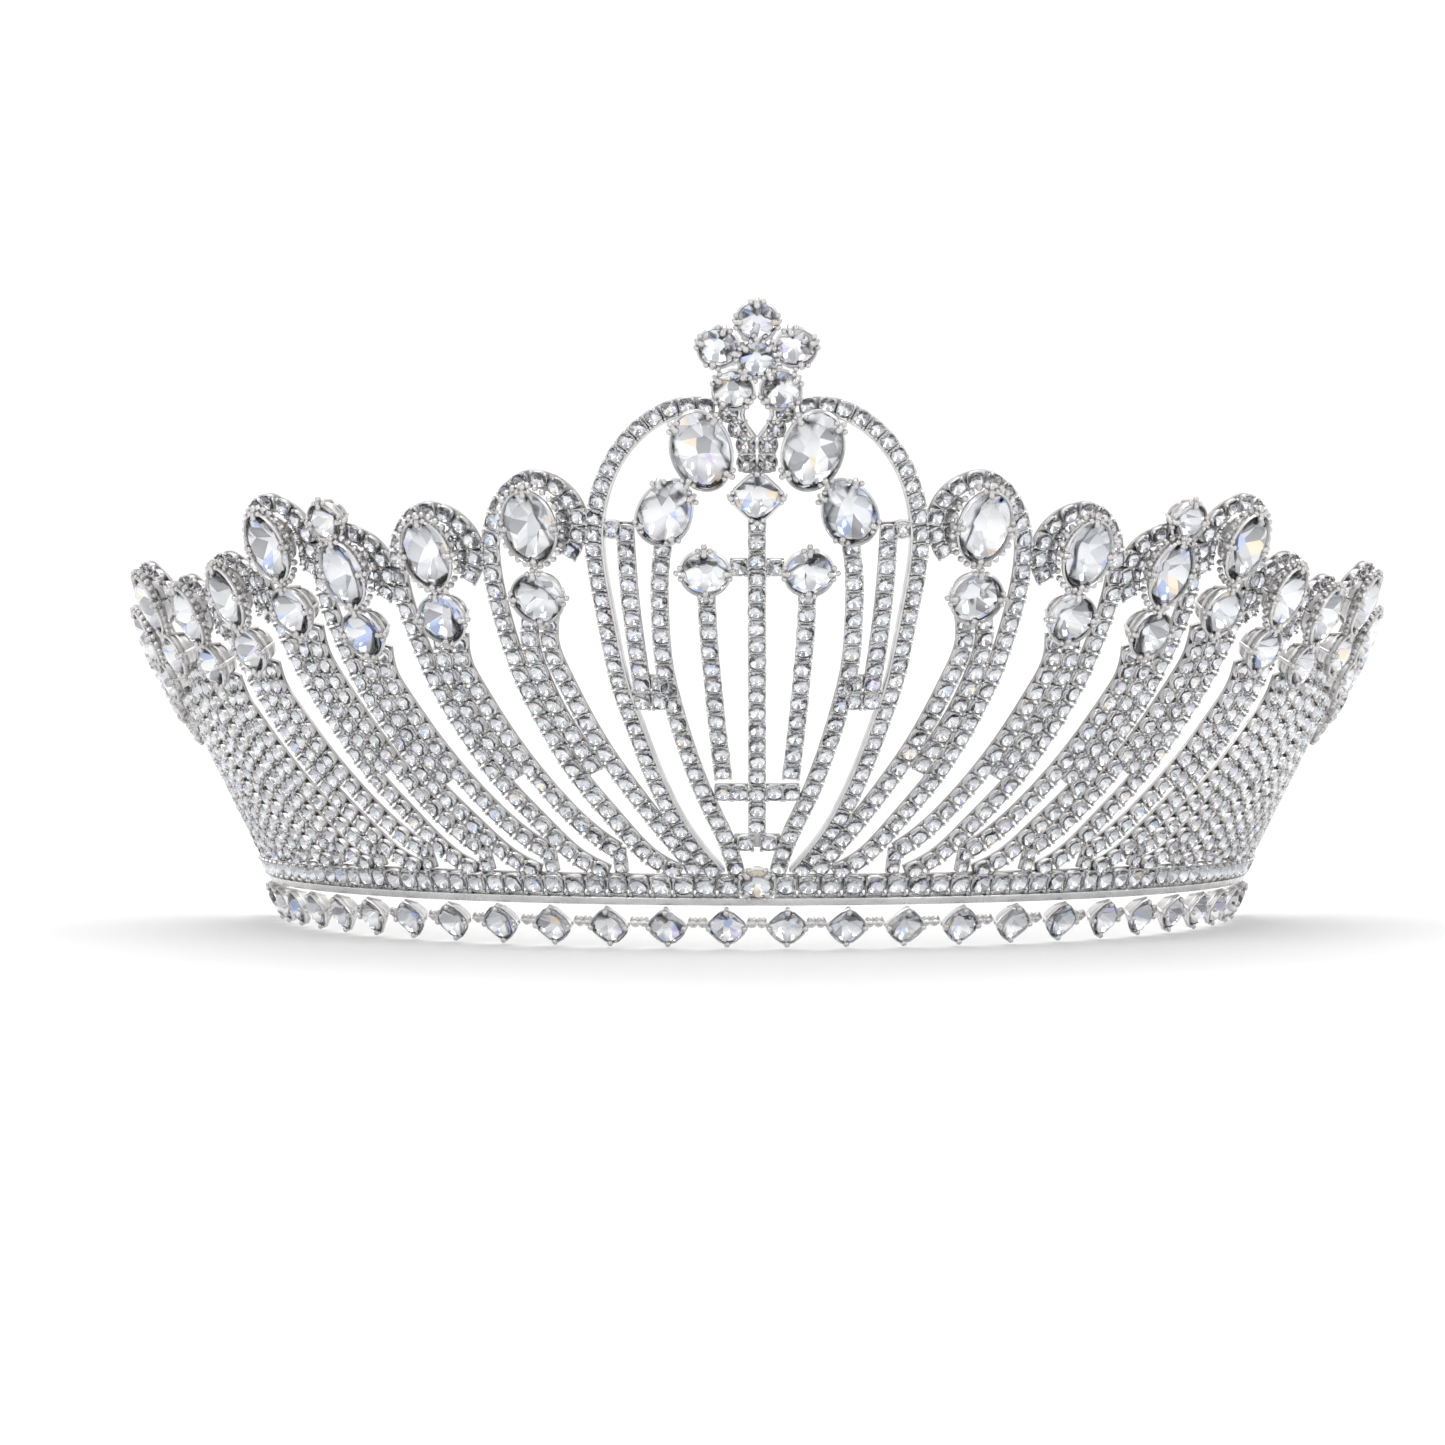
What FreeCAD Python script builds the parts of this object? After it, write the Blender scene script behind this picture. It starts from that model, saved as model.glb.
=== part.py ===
import FreeCAD, Part
import math
import os

from FreeCAD import Vector

# Bridal tiara: an open-backed half ring whose wall leans outward.
# Millimetres, +Z up, front of the head towards -Y, the wearer's left towards +X.
# The origin is under the middle of the tiara, on the surface that it stands on.
# "Height" is measured up from the foot of the wall, "angle" is in degrees around the
# head from the front, and "lift" is outward from the wall.

# Head ring and wall
BASE_RADIUS = 70.0              # head ring, at the foot of the wall
WALL_FLARE = 0.49               # outward lean, mm for each mm of height
BAND_HALF_ANGLE = 90.0          # sweep of the ring on each side of the front
LEAN = math.atan(WALL_FLARE)

# Lowest row: square claw settings stood on one corner
BASE_ROW_HEIGHT = 0.8
BASE_PITCH_ANGLE = 6.2
BASE_STONES_PER_SIDE = 14
BASE_STONE_DIAMETER = 4.4
BASE_SETTING_DIAGONAL = 5.9     # corner to corner, claws included
LINK_HEIGHT = 1.6
LINK_DEPTH = 0.9
LINK_LIFT = 0.4

# Plain rail over the lowest row, and the cup chain band over the rail
RAIL_LOW = 3.4
RAIL_HIGH = 4.4
RAIL_DEPTH = 1.7
BAND_LOW = 4.5
BAND_HIGH = 7.2
BAND_DEPTH = 1.9
BAND_GAP_HALF_ANGLE = 1.75      # the band stops here, at each side of the centre stone
BAND_CENTRE_DIAMETER = 4.2
BAND_CENTRE_HEIGHT = 6.5        # it stands a little proud of the band's top edge

# Cup chain strands
STRAND_WIDTH = 2.4
STRAND_DEPTH = 1.8
STEP_LENGTH = 3.0               # spacing of the sections that shape a strand
SAME_WAY = 1                    # ruled faces join two edges start to start

# Side motifs, counted from the crest outward
MOTIF_TOPS = [57.9, 54.4, 52.0, 56.3, 49.3, 46.7, 49.0, 44.0, 40.0, 35.0]
FIRST_FOOT_ANGLE = 8.2
FOOT_PITCH_ANGLE = 7.4
LOOP_LEANS = [0.0, 1.5, 2.4, 1.8, 2.4, 3.0, 3.6, 4.2, 4.8, 5.4]   # degrees that each leans outward at its top
FOOT_HEIGHT = 7.0
POST_WIDTH = 1.9
POST_TOP = 10.4
POST_LAG_ANGLE = 2.0            # a post stands this far inward of its motif's foot
FULL_TOP = 57.0                 # the height that the motif's outlines are drawn for

# Each strand of a motif: angle from the motif's foot, height
OUTER_STRAND = [(-0.6, 7.2), (2.3, 9.4), (4.7, 13.0), (6.4, 16.0), (8.5, 20.2), (10.4, 26.0), (11.8, 32.0),
                (12.5, 39.0), (12.5, 46.0), (11.1, 52.3), (8.0, 55.8), (5.5, 53.6), (5.0, 49.8), (6.2, 46.6)]
MIDDLE_STRAND = [(10.0, 39.8), (10.5, 36.4), (10.15, 32.3), (8.95, 27.0), (7.6, 23.2), (6.4, 20.3)]
INNER_STRAND = [(8.3, 39.8), (8.8, 36.0), (8.2, 32.3), (7.1, 27.9), (5.5, 22.9), (3.2, 17.6), (1.1, 13.9),
                (-0.5, 11.8), (-2.0, 10.3)]
FIRST_INNER_STRAND = INNER_STRAND[:6] + [(1.1, 13.5), (-0.4, 10.9), (-2.3, 7.2)]
FILL_STRAND = [(6.5, 53.5), (6.1, 50.5), (6.7, 47.4)]
FILL_WIDTH = 1.6
MOTIF_OVAL_AT = (8.3, 51.0)
MOTIF_ROUND_AT = (8.6, 42.6)
MOTIF_OVAL_LENGTH = 9.2
MOTIF_OVAL_WIDTH = 6.6
MOTIF_ROUND_DIAMETER = 6.4
SPRAY_STONE_AT = (33.8, 52.9)   # single stone standing between the third and fourth motifs
SPRAY_DIAMETER = 5.0

# Crest strands: mm to one side of the centre line, height
ARCH_STRAND = [(5.0, 7.1), (7.3, 9.8), (9.4, 12.7), (11.7, 17.0), (13.7, 21.7), (15.4, 26.4), (16.9, 30.8),
               (18.1, 36.2), (19.1, 41.8), (19.8, 46.4), (19.9, 50.6), (18.6, 56.2), (15.7, 60.8),
               (12.0, 63.7), (8.5, 64.8), (5.0, 64.6)]
SHORT_STRAND = [(16.1, 51.2), (15.9, 46.4), (15.6, 41.8), (15.1, 37.2), (14.5, 32.6)]
PEAR_STRAND = [(11.3, 49.4), (11.9, 44.5), (11.9, 40.2), (11.5, 34.0), (10.2, 28.2), (8.2, 21.7), (6.0, 16.2),
               (3.8, 11.4), (2.5, 7.1)]
INNER_CREST_STRAND = [(6.2, 43.4), (5.9, 37.0), (5.3, 30.0), (4.7, 24.0), (4.2, 19.6)]
CENTRE_STRAND = [(0.0, 52.0), (0.0, 38.0), (0.0, 24.0), (0.0, 12.6)]
CREST_OVAL_AT = (6.5, 60.6)
CREST_OVAL_LENGTH = 10.0
CREST_OVAL_WIDTH = 7.0
CREST_OVAL_TURN = 12.0
PEAR_AT = (10.8, 53.4)
PEAR_LENGTH = 8.8
PEAR_WIDTH = 6.2
PEAR_TURN = -26.0
SQUARE_AT = (0.0, 54.9)
SQUARE_SIDE = 5.5
CREST_ROUND_AT = (6.2, 46.0)
CREST_ROUND_DIAMETER = 5.8
CREST_TIE_HEIGHT = 45.9
CREST_ROW_HEIGHT = 17.9
CREST_FOOT_HEIGHT = 11.4
CREST_FOOT_REACH = 2.9          # half of the cross piece that the centre strand stands on
CREST_BLOCK_AT = (13.2, 30.6)
CREST_BLOCK_WIDTH = 4.8
CREST_BLOCK_HEIGHT = 4.8
CREST_LINKS_AT = [(3.3, 64.1), (2.2, 62.3), (1.25, 60.4), (1.2, 58.3), (17.8, 50.6)]
CREST_LINK_DIAMETER = 2.0
FLOWER_HEIGHT = 70.6
FLOWER_RADIUS = 4.75
PETAL_COUNT = 5
PETAL_STONE_DIAMETER = 4.7
FLOWER_CENTRE_DIAMETER = 4.4

# Settings: a tapered collar that holds the stone's girdle, with a claw at each corner
COLLAR_WALL = 0.35
COLLAR_TAPER = 0.55             # size of the collar's foot, as a share of its mouth
CLAW_RADIUS = 0.36
CLAW_RISE = 0.45                # claw tip above the girdle
CLAW_STAND_OFF = 0.1            # claw's axis outside the collar's mouth
SEAT_DEPTH = 0.5                # collar height, as a share of the stone's width

# Stones
TABLE_SHARE = 0.56
CROWN_SHARE = 0.16
PAVILION_SHARE = 0.42
STONE_SIDES = 8

# Ends of the ring
EYELET_OUTER_RADIUS = 2.4
EYELET_HOLE_RADIUS = 1.2
EYELET_THICKNESS = 1.0
EYELET_TAIL = 0.6


def wall_radius(height):
    return BASE_RADIUS + WALL_FLARE * height


def wall_side(angle):
    turn = math.radians(angle)
    return Vector(math.cos(turn), math.sin(turn), 0.0)


def wall_normal(angle):
    turn = math.radians(angle)
    level = math.cos(LEAN)
    return Vector(level * math.sin(turn), -level * math.cos(turn), -math.sin(LEAN))


def wall_point(angle, height, lift=0.0):
    turn = math.radians(angle)
    radius = wall_radius(height)
    on_wall = Vector(radius * math.sin(turn), -radius * math.cos(turn), height)
    return on_wall + wall_normal(angle) * lift


def angle_beside_centre(offset, height):
    """Angle of a point that lies offset mm to one side of the centre line."""
    return math.degrees(offset / wall_radius(height))


def place(shape, angle, height, turn=0.0, lift=0.0):
    """Sets a piece drawn face-up in the XY plane onto the wall, turned in its own plane."""
    side = wall_side(angle)
    normal = wall_normal(angle)
    seated = FreeCAD.Rotation(side, normal.cross(side), normal)
    spun = FreeCAD.Rotation(Vector(0, 0, 1), turn)
    piece = shape.copy()
    piece.Placement = FreeCAD.Placement(wall_point(angle, height, lift), seated.multiply(spun))
    return piece


# Strands

def spaced_path(points):
    """Evenly spaced points and directions along a smooth curve through the given ones."""
    mm_per_degree = math.radians(wall_radius(FULL_TOP / 2))
    flat = [Vector(angle * mm_per_degree, height, 0.0) for angle, height in points]
    curve = Part.BSplineCurve()
    curve.interpolate(flat)
    edge = curve.toShape()
    count = max(4, int(edge.Length / STEP_LENGTH) + 2)
    places = []
    for spot in edge.discretize(Number=count):
        places.append((spot.x / mm_per_degree, spot.y))
    return places


def strip_sections(places, width, depth):
    """Rectangular sections square to the strand, as four corners each."""
    centres = [wall_point(angle, height) for angle, height in places]
    sections = []
    for index, (angle, height) in enumerate(places):
        before = centres[max(index - 1, 0)]
        after = centres[min(index + 1, len(centres) - 1)]
        along = (after - before).normalize()
        outward = wall_normal(angle)
        across = outward.cross(along).normalize() * (width / 2)
        foot = centres[index]
        face = foot + outward * depth
        sections.append((foot - across, foot + across, face + across, face - across))
    return sections


def strip(points, width=STRAND_WIDTH, depth=STRAND_DEPTH):
    """A strand lying on the wall along the given path."""
    sections = strip_sections(spaced_path(points), width, depth)
    rails = []
    for corner in range(4):
        curve = Part.BSplineCurve()
        curve.interpolate([section[corner] for section in sections])
        rails.append(curve.toShape())
    faces = []
    for corner in range(4):
        faces.append(Part.makeRuledSurface(rails[corner], rails[(corner + 1) % 4], SAME_WAY))
    for section in (sections[0], sections[-1]):
        faces.append(Part.Face(Part.makePolygon(list(section) + [section[0]])))
    return solid_from(faces)


def solid_from(faces):
    shell = Part.makeShell(faces)
    shell.sewShape()
    solid = Part.makeSolid(shell)
    if solid.Volume < 0:
        solid.reverse()
    return solid


def mirrored(points):
    return [(-across, height) for across, height in points]


def beside_centre(points):
    """Turns mm from the centre line into angles."""
    return [(angle_beside_centre(offset, height), height) for offset, height in points]


def wall_band(low, high, depth, start, end):
    """A flat strip that runs round the ring between two angles."""
    outward = wall_normal(0)
    foot = wall_point(0, low)
    head = wall_point(0, high)
    outline = Part.makePolygon([foot, head, head + outward * depth, foot + outward * depth, foot])
    section = Part.Face(outline)
    section.rotate(Vector(0, 0, 0), Vector(0, 0, 1), start)
    return section.revolve(Vector(0, 0, 0), Vector(0, 0, 1), end - start)


# Stones and their settings, drawn face-up with the foot of the collar at the origin

def outline(length, width, sides, shrink=1.0, level=0.0):
    """Corners of a regular outline, stretched to a length along Y and a width along X."""
    corners = []
    for step in range(sides):
        turn = 2 * math.pi * (step + 0.5) / sides
        x = shrink * width / 2 * math.cos(turn)
        y = shrink * length / 2 * math.sin(turn)
        corners.append(Vector(x, y, level))
    return corners


def polygon_face(corners):
    return Part.Face(Part.makePolygon(corners + [corners[0]]))


def stone(length, width, sides=STONE_SIDES):
    """A faceted stone: flat table, bevelled crown and a pointed pavilion."""
    seat = SEAT_DEPTH * width
    girdle = outline(length, width, sides, level=seat)
    table = outline(length, width, sides, TABLE_SHARE, seat + CROWN_SHARE * width)
    culet = Vector(0, 0, seat - PAVILION_SHARE * width)
    faces = [polygon_face(table)]
    for step in range(sides):
        follow = (step + 1) % sides
        faces.append(polygon_face([girdle[step], girdle[follow], table[follow], table[step]]))
        faces.append(polygon_face([girdle[follow], girdle[step], culet]))
    return solid_from(faces)


def frustum(length, width, sides, height, foot_share):
    mouth = Part.makePolygon(closed(outline(length, width, sides, level=height)))
    foot = Part.makePolygon(closed(outline(length, width, sides, foot_share)))
    return Part.makeLoft([foot, mouth], True, True)


def closed(corners):
    return corners + [corners[0]]


def claw(x, y, height):
    """A round claw that rises past the girdle and ends in a bead."""
    post = Part.makeCylinder(CLAW_RADIUS, height, Vector(x, y, 0))
    bead = Part.makeSphere(CLAW_RADIUS, Vector(x, y, height))
    return post.fuse(bead)


def setting(length, width, claw_turn=45.0, sides=STONE_SIDES):
    """An open tapered collar for a stone of the given size, with four claws round it."""
    seat = SEAT_DEPTH * width
    collar_length = length + 2 * COLLAR_WALL
    collar_width = width + 2 * COLLAR_WALL
    body = frustum(collar_length, collar_width, sides, seat, COLLAR_TAPER)
    hollow = frustum(length, width, sides, seat, COLLAR_TAPER)
    body = body.cut(hollow)
    reach = (COLLAR_WALL + CLAW_STAND_OFF) * math.cos(math.pi / sides)
    for index in range(4):
        turn = math.radians(claw_turn + 90 * index)
        x = (width / 2 * math.cos(math.pi / sides) + reach) * math.cos(turn)
        y = (length / 2 * math.cos(math.pi / sides) + reach) * math.sin(turn)
        body = body.fuse(claw(x, y, seat + CLAW_RISE))
    return body.removeSplitter()


def square_setting(side, diagonal):
    """A square collar with a claw at each corner, its corners along X and Y."""
    height = SEAT_DEPTH * side
    half = side / math.sqrt(2)
    outer = [Vector(half, 0, 0), Vector(0, half, 0), Vector(-half, 0, 0), Vector(0, -half, 0)]
    body = polygon_face(outer).extrude(Vector(0, 0, height))
    hollow = frustum(side, side, STONE_SIDES, height, COLLAR_TAPER)
    body = body.cut(hollow)
    reach = diagonal / 2 - CLAW_RADIUS
    for x, y in ((reach, 0), (0, reach), (-reach, 0), (0, -reach)):
        body = body.fuse(claw(x, y, height + CLAW_RISE))
    return body.removeSplitter()


# Lowest row, rail and band

def base_angles():
    """Angles of the lowest row's stones, from the wearer's right to the left."""
    count = BASE_STONES_PER_SIDE
    return [(index + 0.5) * BASE_PITCH_ANGLE for index in range(-count, count)]


def base_settings():
    piece = square_setting(BASE_STONE_DIAMETER, BASE_SETTING_DIAGONAL)
    return [place(piece, angle, BASE_ROW_HEIGHT) for angle in base_angles()]


def base_stones():
    piece = stone(BASE_STONE_DIAMETER, BASE_STONE_DIAMETER)
    return [place(piece, angle, BASE_ROW_HEIGHT) for angle in base_angles()]


def base_links():
    """Short bars between the side corners of neighbouring settings."""
    length = wall_radius(BASE_ROW_HEIGHT) * math.radians(BASE_PITCH_ANGLE) - BASE_SETTING_DIAGONAL
    corner = Vector(-length / 2, -LINK_HEIGHT / 2, LINK_LIFT)
    bar = Part.makeBox(length, LINK_HEIGHT, LINK_DEPTH, corner)
    middles = [angle + BASE_PITCH_ANGLE / 2 for angle in base_angles()[:-1]]
    return [place(bar, angle, BASE_ROW_HEIGHT) for angle in middles]


def base_rail():
    return [wall_band(RAIL_LOW, RAIL_HIGH, RAIL_DEPTH, -BAND_HALF_ANGLE, BAND_HALF_ANGLE)]


def band_chain():
    right = wall_band(BAND_LOW, BAND_HIGH, BAND_DEPTH, -BAND_HALF_ANGLE, -BAND_GAP_HALF_ANGLE)
    left = wall_band(BAND_LOW, BAND_HIGH, BAND_DEPTH, BAND_GAP_HALF_ANGLE, BAND_HALF_ANGLE)
    return [right, left]


def band_centre_setting():
    return [place(setting(BAND_CENTRE_DIAMETER, BAND_CENTRE_DIAMETER), 0.0, BAND_CENTRE_HEIGHT)]


def band_centre_stone():
    return [place(stone(BAND_CENTRE_DIAMETER, BAND_CENTRE_DIAMETER), 0.0, BAND_CENTRE_HEIGHT)]


def end_eyelets():
    """Flat rings with a short tail, on the rail's two ends, for a hairpin or a ribbon."""
    height = (RAIL_LOW + RAIL_HIGH) / 2
    inner_face = wall_radius(height) + (RAIL_DEPTH - EYELET_THICKNESS) / 2
    middle = inner_face + EYELET_THICKNESS / 2
    reach = EYELET_TAIL + EYELET_OUTER_RADIUS
    tail_width = RAIL_HIGH - RAIL_LOW
    pieces = []
    for side in (-1, 1):
        centre = Vector(side * inner_face, reach, height)
        axis = Vector(side, 0, 0)
        plate = Part.makeCylinder(EYELET_OUTER_RADIUS, EYELET_THICKNESS, centre, axis)
        hole = Part.makeCylinder(EYELET_HOLE_RADIUS, EYELET_THICKNESS, centre, axis)
        tail = Part.makeBox(EYELET_THICKNESS, reach, tail_width)
        tail.translate(Vector(side * middle - EYELET_THICKNESS / 2, 0, height - tail_width / 2))
        pieces.append(plate.fuse(tail).cut(hole))
    return pieces


# Side motifs

def foot_angle(number):
    return FIRST_FOOT_ANGLE + FOOT_PITCH_ANGLE * (number - 1)


def height_share(number):
    """How tall this motif is beside a full-height one."""
    return (MOTIF_TOPS[number - 1] - FOOT_HEIGHT) / (FULL_TOP - FOOT_HEIGHT)


def in_motif(number, across, height):
    """Angle and height on the wall of a point drawn for a full-height motif."""
    rise = (height - FOOT_HEIGHT) / (FULL_TOP - FOOT_HEIGHT)
    extra_lean = LOOP_LEANS[number - 1]
    angle = foot_angle(number) + across + extra_lean * rise
    return angle, FOOT_HEIGHT + (height - FOOT_HEIGHT) * height_share(number)


def motif_path(number, side, points):
    """A motif's strand on one side of the head: side is -1 or 1."""
    placed = [in_motif(number, across, height) for across, height in points]
    return [(side * angle, height) for angle, height in placed]


def motif_outer_strand(number, side):
    return [strip(motif_path(number, side, OUTER_STRAND))]


def motif_inner_strands(number):
    """The strands inside a motif and its mirror image, with the small ones beside the oval."""
    inner = FIRST_INNER_STRAND if number == 1 else INNER_STRAND
    pieces = []
    for side in (-1, 1):
        pieces.append(strip(motif_path(number, side, MIDDLE_STRAND)))
        pieces.append(strip(motif_path(number, side, inner)))
        pieces.append(strip(motif_path(number, side, FILL_STRAND), FILL_WIDTH, FILL_WIDTH))
    return pieces


def stone_share(number):
    """Stones shrink half as fast as the motifs that hold them."""
    return (1.0 + height_share(number)) / 2


def on_motifs(make, at, length, width):
    """A piece for each side motif, at the place that it has in the motif."""
    pieces = []
    for number in range(1, len(MOTIF_TOPS) + 1):
        share = stone_share(number)
        piece = make(length * share, width * share)
        angle, height = in_motif(number, *at)
        pieces.append(place(piece, -angle, height))
        pieces.append(place(piece, angle, height))
    return pieces


def on_both_sides(piece, at, turn=0.0):
    """One piece each side of the centre line, as mirror images."""
    angle = angle_beside_centre(*at)
    return [place(piece, -angle, at[1], turn), place(piece, angle, at[1], -turn)]


def upright_setting(length, width):
    """A setting with its claws at the top, the foot and both sides."""
    return setting(length, width, 0.0)


def side_oval_settings():
    return on_motifs(upright_setting, MOTIF_OVAL_AT, MOTIF_OVAL_LENGTH, MOTIF_OVAL_WIDTH)


def side_oval_stones():
    return on_motifs(stone, MOTIF_OVAL_AT, MOTIF_OVAL_LENGTH, MOTIF_OVAL_WIDTH)


def round_pieces(make):
    """The round stones or settings of the motifs, the crest and the single sprays."""
    pieces = on_motifs(make, MOTIF_ROUND_AT, MOTIF_ROUND_DIAMETER, MOTIF_ROUND_DIAMETER)
    pieces += on_both_sides(make(CREST_ROUND_DIAMETER, CREST_ROUND_DIAMETER), CREST_ROUND_AT)
    spray = make(SPRAY_DIAMETER, SPRAY_DIAMETER)
    angle, height = SPRAY_STONE_AT
    pieces.append(place(spray, -angle, height))
    pieces.append(place(spray, angle, height))
    return pieces


def foot_posts():
    """Uprights under the joints where one motif's inner strand meets its neighbour."""
    pieces = []
    for number in range(2, len(MOTIF_TOPS) + 1):
        for side in (-1, 1):
            angle = side * (foot_angle(number) - POST_LAG_ANGLE)
            path = [(angle, BAND_HIGH), (angle, (BAND_HIGH + POST_TOP) / 2), (angle, POST_TOP)]
            pieces.append(strip(path, POST_WIDTH))
    return pieces


# Crest

def pair_of_strips(points):
    path = beside_centre(points)
    return [strip(mirrored(path)), strip(path)]


def arch_strand_right():
    return [strip(mirrored(beside_centre(ARCH_STRAND)))]


def arch_strand_left():
    return [strip(beside_centre(ARCH_STRAND))]


def level_bar(start, end, height, width=STRAND_WIDTH):
    """A short level run of cup chain between two offsets from the centre line."""
    middle = (start + end) / 2
    return strip(beside_centre([(start, height), (middle, height), (end, height)]), width)


def crest_ties():
    """The short cross pieces that hold the crest's strands together."""
    half = STRAND_WIDTH / 2
    block_in = CREST_BLOCK_AT[0] - CREST_BLOCK_WIDTH / 2
    block_out = CREST_BLOCK_AT[0] + CREST_BLOCK_WIDTH / 2
    row_end = INNER_CREST_STRAND[-1][0] + half
    round_edge = CREST_ROUND_AT[0] - CREST_ROUND_DIAMETER / 2 - COLLAR_WALL
    pieces = []
    for side in (-1, 1):
        pieces.append(level_bar(side * half, side * row_end, CREST_ROW_HEIGHT))
        pieces.append(level_bar(side * half, side * round_edge, CREST_TIE_HEIGHT))
        pieces.append(level_bar(side * block_in, side * block_out, CREST_BLOCK_AT[1], CREST_BLOCK_HEIGHT))
    pieces.append(level_bar(-CREST_FOOT_REACH, CREST_FOOT_REACH, CREST_FOOT_HEIGHT))
    return pieces


def petal_places():
    """Each petal's mm from the centre line, height, and turn about the flower."""
    places = []
    for petal in range(PETAL_COUNT):
        degrees = 90 + 360 * petal / PETAL_COUNT
        turn = math.radians(degrees)
        rise = FLOWER_RADIUS * math.sin(turn) * math.cos(LEAN)
        places.append((FLOWER_RADIUS * math.cos(turn), FLOWER_HEIGHT + rise, degrees))
    return places


def flower_settings():
    """A plain round setting in the middle, and petals with a claw at each tip."""
    petal = setting(PETAL_STONE_DIAMETER, PETAL_STONE_DIAMETER, 0.0)
    pieces = [place(setting(FLOWER_CENTRE_DIAMETER, FLOWER_CENTRE_DIAMETER), 0.0, FLOWER_HEIGHT)]
    for offset, height, turn in petal_places():
        pieces.append(place(petal, angle_beside_centre(offset, height), height, turn))
    return pieces


def flower_stones():
    petal = stone(PETAL_STONE_DIAMETER, PETAL_STONE_DIAMETER)
    pieces = [place(stone(FLOWER_CENTRE_DIAMETER, FLOWER_CENTRE_DIAMETER), 0.0, FLOWER_HEIGHT)]
    for offset, height, turn in petal_places():
        pieces.append(place(petal, angle_beside_centre(offset, height), height, turn))
    return pieces


def crest_links(make):
    """Single small stones that join the big ones to each other and to the arch."""
    piece = make(CREST_LINK_DIAMETER, CREST_LINK_DIAMETER)
    pieces = []
    for at in CREST_LINKS_AT:
        pieces += on_both_sides(piece, at)
    return pieces


def crest_square_setting():
    piece = square_setting(SQUARE_SIDE, SQUARE_SIDE * math.sqrt(2))
    return [place(piece, 0.0, SQUARE_AT[1])]


def crest_square_stone():
    return [place(stone(SQUARE_SIDE, SQUARE_SIDE), 0.0, SQUARE_AT[1])]


def crest_parts():
    return {
        "arch_strand_right": arch_strand_right(),
        "arch_strand_left": arch_strand_left(),
        "crest_short_strands": pair_of_strips(SHORT_STRAND),
        "crest_pear_strands": pair_of_strips(PEAR_STRAND),
        "crest_inner_strands": pair_of_strips(INNER_CREST_STRAND),
        "crest_centre_strand": [strip(CENTRE_STRAND)],
        "crest_ties": crest_ties(),
        "crest_oval_settings": on_both_sides(setting(CREST_OVAL_LENGTH, CREST_OVAL_WIDTH),
                                             CREST_OVAL_AT, CREST_OVAL_TURN),
        "crest_oval_stones": on_both_sides(stone(CREST_OVAL_LENGTH, CREST_OVAL_WIDTH),
                                           CREST_OVAL_AT, CREST_OVAL_TURN),
        "crest_pear_settings": on_both_sides(setting(PEAR_LENGTH, PEAR_WIDTH), PEAR_AT, PEAR_TURN),
        "crest_pear_stones": on_both_sides(stone(PEAR_LENGTH, PEAR_WIDTH), PEAR_AT, PEAR_TURN),
        "crest_square_setting": crest_square_setting(),
        "crest_square_stone": crest_square_stone(),
        "crest_link_settings": crest_links(setting),
        "crest_link_stones": crest_links(stone),
        "flower_settings": flower_settings(),
        "flower_stones": flower_stones(),
    }


def base_parts():
    return {
        "base_settings": base_settings(),
        "base_stones": base_stones(),
        "base_links": base_links(),
        "base_rail": base_rail(),
        "band_chain": band_chain(),
        "band_centre_setting": band_centre_setting(),
        "band_centre_stone": band_centre_stone(),
        "end_eyelets": end_eyelets(),
    }


def motif_parts():
    parts = {
        "foot_posts": foot_posts(),
        "side_oval_settings": side_oval_settings(),
        "side_oval_stones": side_oval_stones(),
        "round_settings": round_pieces(upright_setting),
        "round_stones": round_pieces(stone),
    }
    for number in range(1, len(MOTIF_TOPS) + 1):
        parts["motif_%d_right_outer_strand" % number] = motif_outer_strand(number, -1)
        parts["motif_%d_left_outer_strand" % number] = motif_outer_strand(number, 1)
        parts["motif_%d_inner_strands" % number] = motif_inner_strands(number)
    return parts


def origin_shift(groups):
    """Moves the point under the middle of the whole tiara to the origin."""
    box = Part.makeCompound(groups).optimalBoundingBox(False)
    return Vector(-box.Center.x, -box.Center.y, -box.ZMin)


def main():
    parts = {}
    for group in (base_parts(), motif_parts(), crest_parts()):
        parts.update(group)
    compounds = {name: Part.makeCompound(solids) for name, solids in parts.items()}
    shift = origin_shift(list(compounds.values()))
    os.makedirs("parts", exist_ok=True)
    for name, shape in compounds.items():
        shape.translate(shift)
        shape.exportStep("parts/%s.step" % name)
    print("nodes", len(compounds), "origin shift", shift)


main()
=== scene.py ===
import math
import random

import bpy
import numpy as np
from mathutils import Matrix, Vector


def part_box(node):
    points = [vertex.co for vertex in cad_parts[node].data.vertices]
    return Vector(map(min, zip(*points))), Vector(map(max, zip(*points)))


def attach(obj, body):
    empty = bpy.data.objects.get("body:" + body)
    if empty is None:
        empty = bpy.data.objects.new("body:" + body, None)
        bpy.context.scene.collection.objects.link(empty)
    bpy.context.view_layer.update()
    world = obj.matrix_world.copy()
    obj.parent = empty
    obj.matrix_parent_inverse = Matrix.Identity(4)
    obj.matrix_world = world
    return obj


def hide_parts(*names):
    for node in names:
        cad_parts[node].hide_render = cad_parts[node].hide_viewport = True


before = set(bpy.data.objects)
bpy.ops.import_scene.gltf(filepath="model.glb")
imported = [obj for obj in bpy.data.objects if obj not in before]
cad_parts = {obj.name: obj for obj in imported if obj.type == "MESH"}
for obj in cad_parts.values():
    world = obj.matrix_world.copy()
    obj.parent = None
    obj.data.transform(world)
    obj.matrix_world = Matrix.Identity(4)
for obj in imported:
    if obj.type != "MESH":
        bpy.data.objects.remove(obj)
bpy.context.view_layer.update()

# A rigid half-ring tiara of soldered cup chain and claw-set stones. Sizes are in mm, and
# Shape.finish turns them into metres. Angles run round the ring from its front, in degrees.

MM = 0.001
rng = random.Random(7)

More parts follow.
